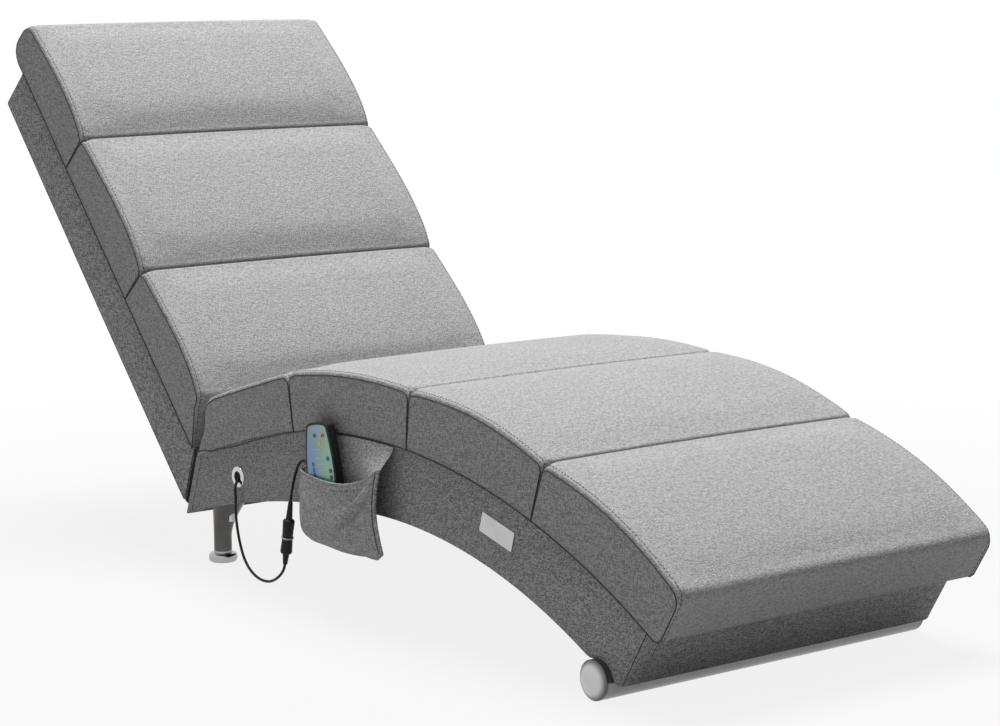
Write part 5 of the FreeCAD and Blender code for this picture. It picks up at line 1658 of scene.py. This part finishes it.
    def _sheet(self, name: str, form: Callable[[float, float], Vector], rows: int,
               flip: bool) -> tuple[bpy.types.Object, list[list[int]], float]:
        """One cloth sheet over a form.

        Args:
            name: the piece's name.
            form: the point at two shares.
            rows: rows of faces up the sheet.
            flip: turn the faces round.

        Returns:
            The open mesh, its point numbers and its area in square metres.
        """
        sewing = Sewing()
        grid, cloth = [], []
        for r in range(rows + 1):
            ids, marks, run = [], [], 0.0
            for c in range(self.columns + 1):
                place = form(c / self.columns, r / rows)
                if c:
                    run += (place - sewing.points[ids[-1]]).length
                ids.append(sewing.point(place))
                marks.append((run, place.z))
            grid.append(ids)
            cloth.append(marks)
        sewing.grid(grid, cloth, flip)
        piece = sewing.build(name)
        return piece, grid, sum(face.area for face in piece.data.polygons)

    def build(self) -> None:
        """Sew the pocket: back, front, hem, piping and stitches."""
        cloth = WovenCloth("pocket_cloth", 0.30, 0.63, contrast=1.4, lines=0.5).make()
        thread = self.stitcher.material
        back_piece, _, back_area = self._sheet("pocket_back_sheet", self._back, self.back_rows, True)
        subdivide(thicken(back_piece, self.sheet))
        dress(back_piece, cloth, CHAIR)
        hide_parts("pocket_back")
        front, grid, area = self._sheet("pocket_front_sheet", self._front, self.rows, True)
        mouth = self._off(front, grid[-1])
        hem = self._off(front, grid[self.hem_row], self.hem_lift)
        right = self._off(front, [row[-1] for row in grid], *self.piping_lift)
        # A dark cord beside the piping is painted shade of the groove there.
        groove = self._off(front, [row[-2] for row in grid[1:]], self.groove_shade_lift)
        foot = self._off(front, grid[0])
        subdivide(thicken(front, self.sheet))
        dress(front, cloth, CHAIR)
        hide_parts("pocket_front")
        edges = (
            ("pocket_mouth_hem", mouth, self.lip_radius), ("pocket_piping", right, self.piping_radius),
            ("pocket_foot_seam", foot, self.foot_radius),
        )
        for name, line, radius in edges:
            dress(self._rolled(name, line, radius), cloth, CHAIR)
        stitches = self.stitcher.lay("pocket_stitches", [hem], Stitch.POCKET)
        dress(stitches, thread, CHAIR)
        dress(rope("pocket_groove_shade", [groove], self.groove_shade_radius), thread, CHAIR)

    @staticmethod
    def _off(piece: bpy.types.Object, row: Sequence[int], out: float = 0.0,
             ahead: float = 0.0) -> list[Vector]:
        """Points of a sheet moved off its face and ahead, in millimetres."""
        step = Vector((-out * MM, -ahead * MM, 0.0))
        return [piece.data.vertices[k].co + step for k in row]

    def _rolled(self, name: str, line: Sequence[Vector], radius: float) -> bpy.types.Object:
        """Rolled edge of cloth along a line, with its own cloth coordinates."""
        piece = rope(name, [line], radius)
        layer = piece.data.uv_layers.new(name=CLOTH_UV)
        for loop in piece.data.loops:
            place = piece.data.vertices[loop.vertex_index].co
            layer.data[loop.index].uv = (place.y, place.z)
        return piece


@dataclass
class DustSheet:
    """Black sheet stapled under the base."""

    finishes: Finishes
    stapler: Stitcher
    columns: int = 26
    rows: int = 60
    inset: float = 2.5
    sag: float = 3.0
    bays: int = 3
    edge_rate: float = 3.0
    grain: float = 0.012
    grain_layer: float = 4.0
    ripple: float = 0.8
    rise: float = 0.9
    thickness: float = 0.8
    staple_drop: float = 0.6

    def build(self) -> None:
        """Stretch the sheet under the boards and staple its edges."""
        low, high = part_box("base_dust_cover")
        first = low[1] / MM + STATION_CENTRE + self.inset
        last = high[1] / MM + STATION_CENTRE - self.inset
        half = high[0] / MM - self.inset
        sewing = Sewing()
        grid, cloth = [], []
        for r in range(self.rows + 1):
            ids, marks = [], []
            station = first + (last - first) * r / self.rows
            base = arch(station)
            for c in range(self.columns + 1):
                x = -half + 2 * half * c / self.columns
                bay = abs(math.sin(self.bays * math.pi * r / self.rows))
                slack = math.sin(math.pi * c / self.columns) * bay
                cell = Vector((x * self.grain, station * self.grain, self.grain_layer))
                wave = noise.noise(cell) * self.ripple
                fall = (slack * self.sag + wave) * min(1.0, slack * self.edge_rate)
                place = spot(x, (base[0], base[1] + self.rise - fall))
                ids.append(sewing.point(place))
                marks.append((place.x, place.y))
            grid.append(ids)
            cloth.append(marks)
        sewing.grid(grid, cloth, flip=True)
        piece = sewing.build("dust_sheet")
        area = sum(face.area for face in piece.data.polygons)
        vertices = piece.data.vertices
        drop = Vector((0.0, 0.0, -self.staple_drop * MM))
        edges = [[vertices[row[k]].co + drop for row in grid] for k in (1, -2)]
        settle(thicken(piece, self.thickness))
        dress(piece, self.finishes.by_slot["dust_fabric"], CHAIR)
        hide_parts("base_dust_cover")
        2 * half * MM
        area / (2 * half * MM)
        staples = self.stapler.lay("dust_staples", edges, Stitch.STAPLE)
        dress(staples, self.stapler.material, CHAIR)


@dataclass
class HandsetPrint:
    """Printed rings, bars and a lying mark on the handset's face, each a thin raised film."""

    finishes: Finishes
    face: float = -CUSHION_HALF - sum(HANDSET_STACK)
    lift: float = 0.08
    ring_width: float = 0.8
    ring_sides: int = 24
    bar_height: float = 1.3
    mark_body: tuple[Pair, ...] = ((10.0, 62.0), (17.5, 62.0), (18.0, 84.0), (13.5, 84.0))
    mark_head: tuple[float, ...] = (16.2, 88.5, 3.2, 0.4)
    rings: tuple[Triple, ...] = (
        (6.0, 128.0, 4.6), (-13.5, 128.0, 4.6), (-5.0, 117.0, 4.3), (-20.5, 96.0, 4.4),
        (-25.0, 79.0, 3.9), (-25.5, 70.0, 3.9),
    )
    bars: tuple[Triple, ...] = (
        (-6.0, 108.0, 12.0), (-8.0, 103.0, 9.0), (-5.0, 96.0, 13.0), (-5.0, 88.0, 12.0), (-7.0, 79.0, 10.0),
        (-7.0, 70.0, 12.0), (-6.0, 62.0, 9.0),
    )

    def _at(self, across: float, up: float) -> Vector:
        """Point on the face."""
        go, rise = math.cos(HANDSET_LEAN), math.sin(HANDSET_LEAN)
        station = HANDSET_STATION + across * go + up * rise
        height = HANDSET_BOTTOM - across * rise + up * go
        return spot(self.face - self.lift, (station, height))

    def _flat(self, name: str, faces: Sequence[Sequence[Pair]], finish: bpy.types.Material) -> None:
        """Thin film of flat shapes on the face."""
        points: list[Vector] = []
        rings: list[list[int]] = []
        for face in faces:
            rings.append(list(range(len(points), len(points) + len(face))))
            points += [self._at(across, up) for across, up in face]
        piece = flat_piece(name, points, rings, leftward=True)
        dress(piece, finish, HANDSET)

    def _ring(self, across: float, up: float, outer: float, inner: float) -> list[list[Pair]]:
        """Quads of a flat ring."""
        turn = [2 * math.pi * k / self.ring_sides for k in range(self.ring_sides + 1)]
        out, hole = ([(across + size * math.cos(a), up + size * math.sin(a)) for a in turn]
                     for size in (outer, inner))
        return [[out[k], out[k + 1], hole[k + 1], hole[k]] for k in range(self.ring_sides)]

    def build(self) -> None:
        """Print the pale rings, the bars and the blue mark."""
        pale = Moulded("print_pale", (0.66, 0.74, 0.60), 0.35, 0.05).make()
        blue = Moulded("print_blue", (0.02, 0.07, 0.45), 0.35, 0.05).make()
        quads = [quad for across, up, size in self.rings
                 for quad in self._ring(across, up, size, size - self.ring_width)]
        self._flat("handset_rings", quads, pale)
        tall = self.bar_height
        bars = [[(a, u), (a + w, u), (a + w, u + tall), (a, u + tall)] for a, u, w in self.bars]
        self._flat("handset_bars", bars, pale)
        self._flat("handset_mark", [self.mark_body, *self._ring(*self.mark_head)], blue)


@dataclass
class Leads:
    """The two thin leads that join the chaise and the handset."""

    finishes: Finishes
    radius: float = 2.0
    grip: float = 6.0
    section_sides: int = 5
    path_steps: int = 12
    path_order: int = 3
    chair_route: tuple[Triple, ...] = (
        (-33.0, 790.4, 169.0), (-32.0, 803.0, 166.0), (-25.0, 813.0, 161.5), (-12.0, 817.5, 158.5),
        (2.0, 817.0, 155.5), (10.0, 813.5, 144.0), (11.5, 809.5, 126.0), (12.0, 809.5, 105.0),
        (12.5, 805.0, 83.0), (13.5, 797.0, 63.0), (15.0, 784.0, 42.0), (16.5, 763.0, 27.0),
        (18.0, 738.0, 20.8), (19.0, 714.0, 22.0), (19.5, 696.0, 29.0), (20.0, 681.5, 38.5),
    )
    handset_route: tuple[Triple, ...] = (
        (19.5, 564.0, 115.5), (17.5, 568.5, 106.5), (14.0, 577.5, 102.5), (11.5, 589.0, 104.0),
        (10.8, 598.5, 111.5), (11.0, 604.5, 123.5), (11.5, 608.0, 140.0), (12.0, 609.5, 165.0),
        (12.0, 610.5, 184.0), (12.0, 613.0, 199.0), (12.0, 621.5, 209.0), (12.5, 632.5, 210.5),
        (13.5, 641.5, 204.0), (15.5, 646.2, 192.0), (18.0, 649.2, 177.0), (19.5, 651.6, 162.5),
    )

    def build(self, nodes: dict[str, bpy.types.Object]) -> None:
        axis = Vector((0.0, -math.sin(PLUG_LEAN), math.cos(PLUG_LEAN)))
        top = spot(-BASE_HALF - PLUG_OUT, PLUG_TOP)
        grip = axis * self.grip * MM
        socket_end = top - axis * sum(CONNECTOR_RUNS) * MM
        foot = (HANDSET_STATION + HANDSET_EXIT * math.cos(HANDSET_LEAN),
                HANDSET_BOTTOM - HANDSET_EXIT * math.sin(HANDSET_LEAN) - HANDSET_BULGE)
        chair = self._points(self.chair_route) + [socket_end - grip, socket_end + grip]
        out = self._points(self.handset_route)
        start = spot(-BASE_HALF - self.handset_route[0][0], foot)
        handset = [start] + out + [top + grip, top - grip]
        rubber = self.finishes.by_slot["lead_rubber"]
        first = dress(self._curve("chair_lead_line", chair), rubber, CHAIR)
        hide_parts("chair_lead")
        2 * self.radius * MM
        second = dress(self._curve("handset_lead_line", handset), rubber, HANDSET)
        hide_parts("handset_lead")
        2 * self.radius * MM

    def _points(self, route: Sequence[Triple]) -> list[Vector]:
        """Route points in metres."""
        return [spot(-BASE_HALF - out, (station, height)) for out, station, height in route]

    def _curve(self, name: str, points: Sequence[Vector]) -> bpy.types.Object:
        """Smooth round line through a route."""
        piece = round_path(name, [points], self.radius, self.section_sides, "NURBS")
        piece.data.resolution_u = self.path_steps
        spline = piece.data.splines[0]
        spline.order_u = self.path_order
        spline.use_endpoint_u = True
        return piece


class Lamp(Enum):
    """Soft studio lamps: place, aim, size in metres and power in watts."""

    TOP = ((0.6, 0.9, 6.5), (0.0, 0.0, 0.3), 4.2, 650.0)


@dataclass(frozen=True)
class Studio:
    """Camera at the photograph's angle, soft lamps, pale floor and white surroundings."""

    eye: Triple = (-2.374, -3.134, 0.913)
    yaw: float = 38.25
    pitch: float = 8.645
    roll: float = -0.2
    focal: float = 97.7
    sensor: float = 36.0
    ambient: float = 0.15
    white: tuple[float, ...] = (1.0, 1.0, 1.0, 1.0)
    floor_grey: tuple[float, ...] = (0.42, 0.42, 0.42, 1.0)
    floor_reach: float = 9.0
    floor_height: float = -0.0006
    fade_reach: Pair = (0.7, 2.0)
    near_white: float = 0.86

    def build(self) -> None:
        """Set the view, the lamps, the world and the floor."""
        bpy.context.scene.view_settings.view_transform = "Standard"
        self._camera()
        for lamp in Lamp:
            self._lamp(lamp)
        self._world()
        self._floor()

    def _camera(self) -> None:
        """Place the camera."""
        data = bpy.data.cameras.new("view")
        data.sensor_width = self.sensor
        data.sensor_fit = "HORIZONTAL"
        data.lens = self.focal
        camera = add_object("view", data)
        yaw, pitch = math.radians(self.yaw), math.radians(self.pitch)
        level = math.cos(pitch)
        ahead = Vector((math.sin(yaw) * level, math.cos(yaw) * level, -math.sin(pitch)))
        turn = ahead.to_track_quat("-Z", "Y").to_matrix().to_4x4()
        tilt = Matrix.Rotation(math.radians(self.roll), 4, "Z")
        camera.matrix_world = Matrix.Translation(self.eye) @ turn @ tilt
        bpy.context.scene.camera = camera

    def _lamp(self, lamp: Lamp) -> None:
        """Place one area lamp and aim it."""
        place, aim, size, power = lamp.value
        data = bpy.data.lights.new(lamp.name.lower(), "AREA")
        data.shape = "DISK"
        data.size = size
        data.energy = power
        piece = add_object(data.name, data)
        way = Vector(aim) - Vector(place)
        piece.matrix_world = Matrix.Translation(place) @ way.to_track_quat("-Z", "Y").to_matrix().to_4x4()

    def _world(self) -> None:
        """White where the camera or a mirror looks, a soft grey light everywhere else."""
        g = Graph("surroundings", world=True)
        kinds = ("Camera", "Glossy", "Transmission")
        rays = [g.add("LightPath", None, None, f"Is {kind} Ray") for kind in kinds]
        soft = g.add("Background", None, {"Color": self.white, "Strength": self.ambient})
        bright = g.add("Background", None, {"Color": self.white, "Strength": 1.0})
        share = rays[0].most(rays[1]).most(rays[2])
        bpy.context.scene.world = g.close(g.add("MixShader", None, {0: share, 1: soft, 2: bright}))

    def _floor(self) -> None:
        """Pale floor that keeps a faint shadow."""
        signs = ((-1, -1), (1, -1), (1, 1), (-1, 1))
        edge = [(x * self.floor_reach, y * self.floor_reach, self.floor_height) for x, y in signs]
        floor = flat_piece("floor", edge, [(0, 1, 2, 3)])
        g = Graph("floor_paper")
        path = g.add("LightPath", None, None, "Is Camera Ray")
        glossy = g.add("LightPath", None, None, "Is Glossy Ray")
        away = g.add("VectorMath", {"operation": "LENGTH"}, {0: g.object_place()}, "Value")
        share = (path + glossy) * (away.within(*self.fade_reach) * (1 - self.near_white) + self.near_white)
        matt = g.add("BsdfDiffuse", None, {"Color": self.floor_grey})
        glow = g.add("Emission", None, {"Color": self.white, "Strength": 1.0})
        mix = g.add("MixShader", None, {0: share, 1: matt, 2: glow})
        floor.data.materials.append(g.close(mix))


def paint_frame(frame: dict, finishes: Finishes) -> None:
    """Give every solid of the frame its finish.

    Args:
        finishes: the materials by slot.
    """
    for row in frame["record"]["subparts"]:
        piece = frame["nodes"][row["node"]]
        if not piece.material_slots:
            piece.data.materials.append(None)
        for place in piece.material_slots:
            place.material = finishes.by_node.get(row["node"], finishes.by_slot[row["material_slot"]])


def corners(box: Sequence[Sequence[float]]) -> list[list[float]]:
    """Box as plain lists of numbers."""
    return [[float(value) for value in corner] for corner in box]


def main() -> None:
    """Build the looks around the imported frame."""
    logging.basicConfig(level=logging.INFO, format="%(message)s")
    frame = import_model()
    finishes = Finishes().make()
    Studio().build()
    paint_frame(frame, finishes)
    Leads(finishes).build(frame["nodes"])
    # Dark thread for the stitches; the same material paints shade in the hem, crease and pocket groove
    # cords.
    thread = Moulded("thread_and_painted_shade", (0.022, 0.022, 0.023), 0.7, 0.1).make()
    stitcher = Stitcher(thread)
    Upholstery(finishes, stitcher).build()
    BaseSkirt(finishes, stitcher).build()
    EyeletShadeDisc(finishes).build()
    SlitShadeStrips(finishes).build()
    BackShell(finishes, stitcher).build()
    SidePocket(finishes, stitcher).build()
    DustSheet(finishes, Stitcher(finishes.by_slot["zinc_steel"])).build()
    HandsetPrint(finishes).build()


if __name__ == "__main__":
    main()
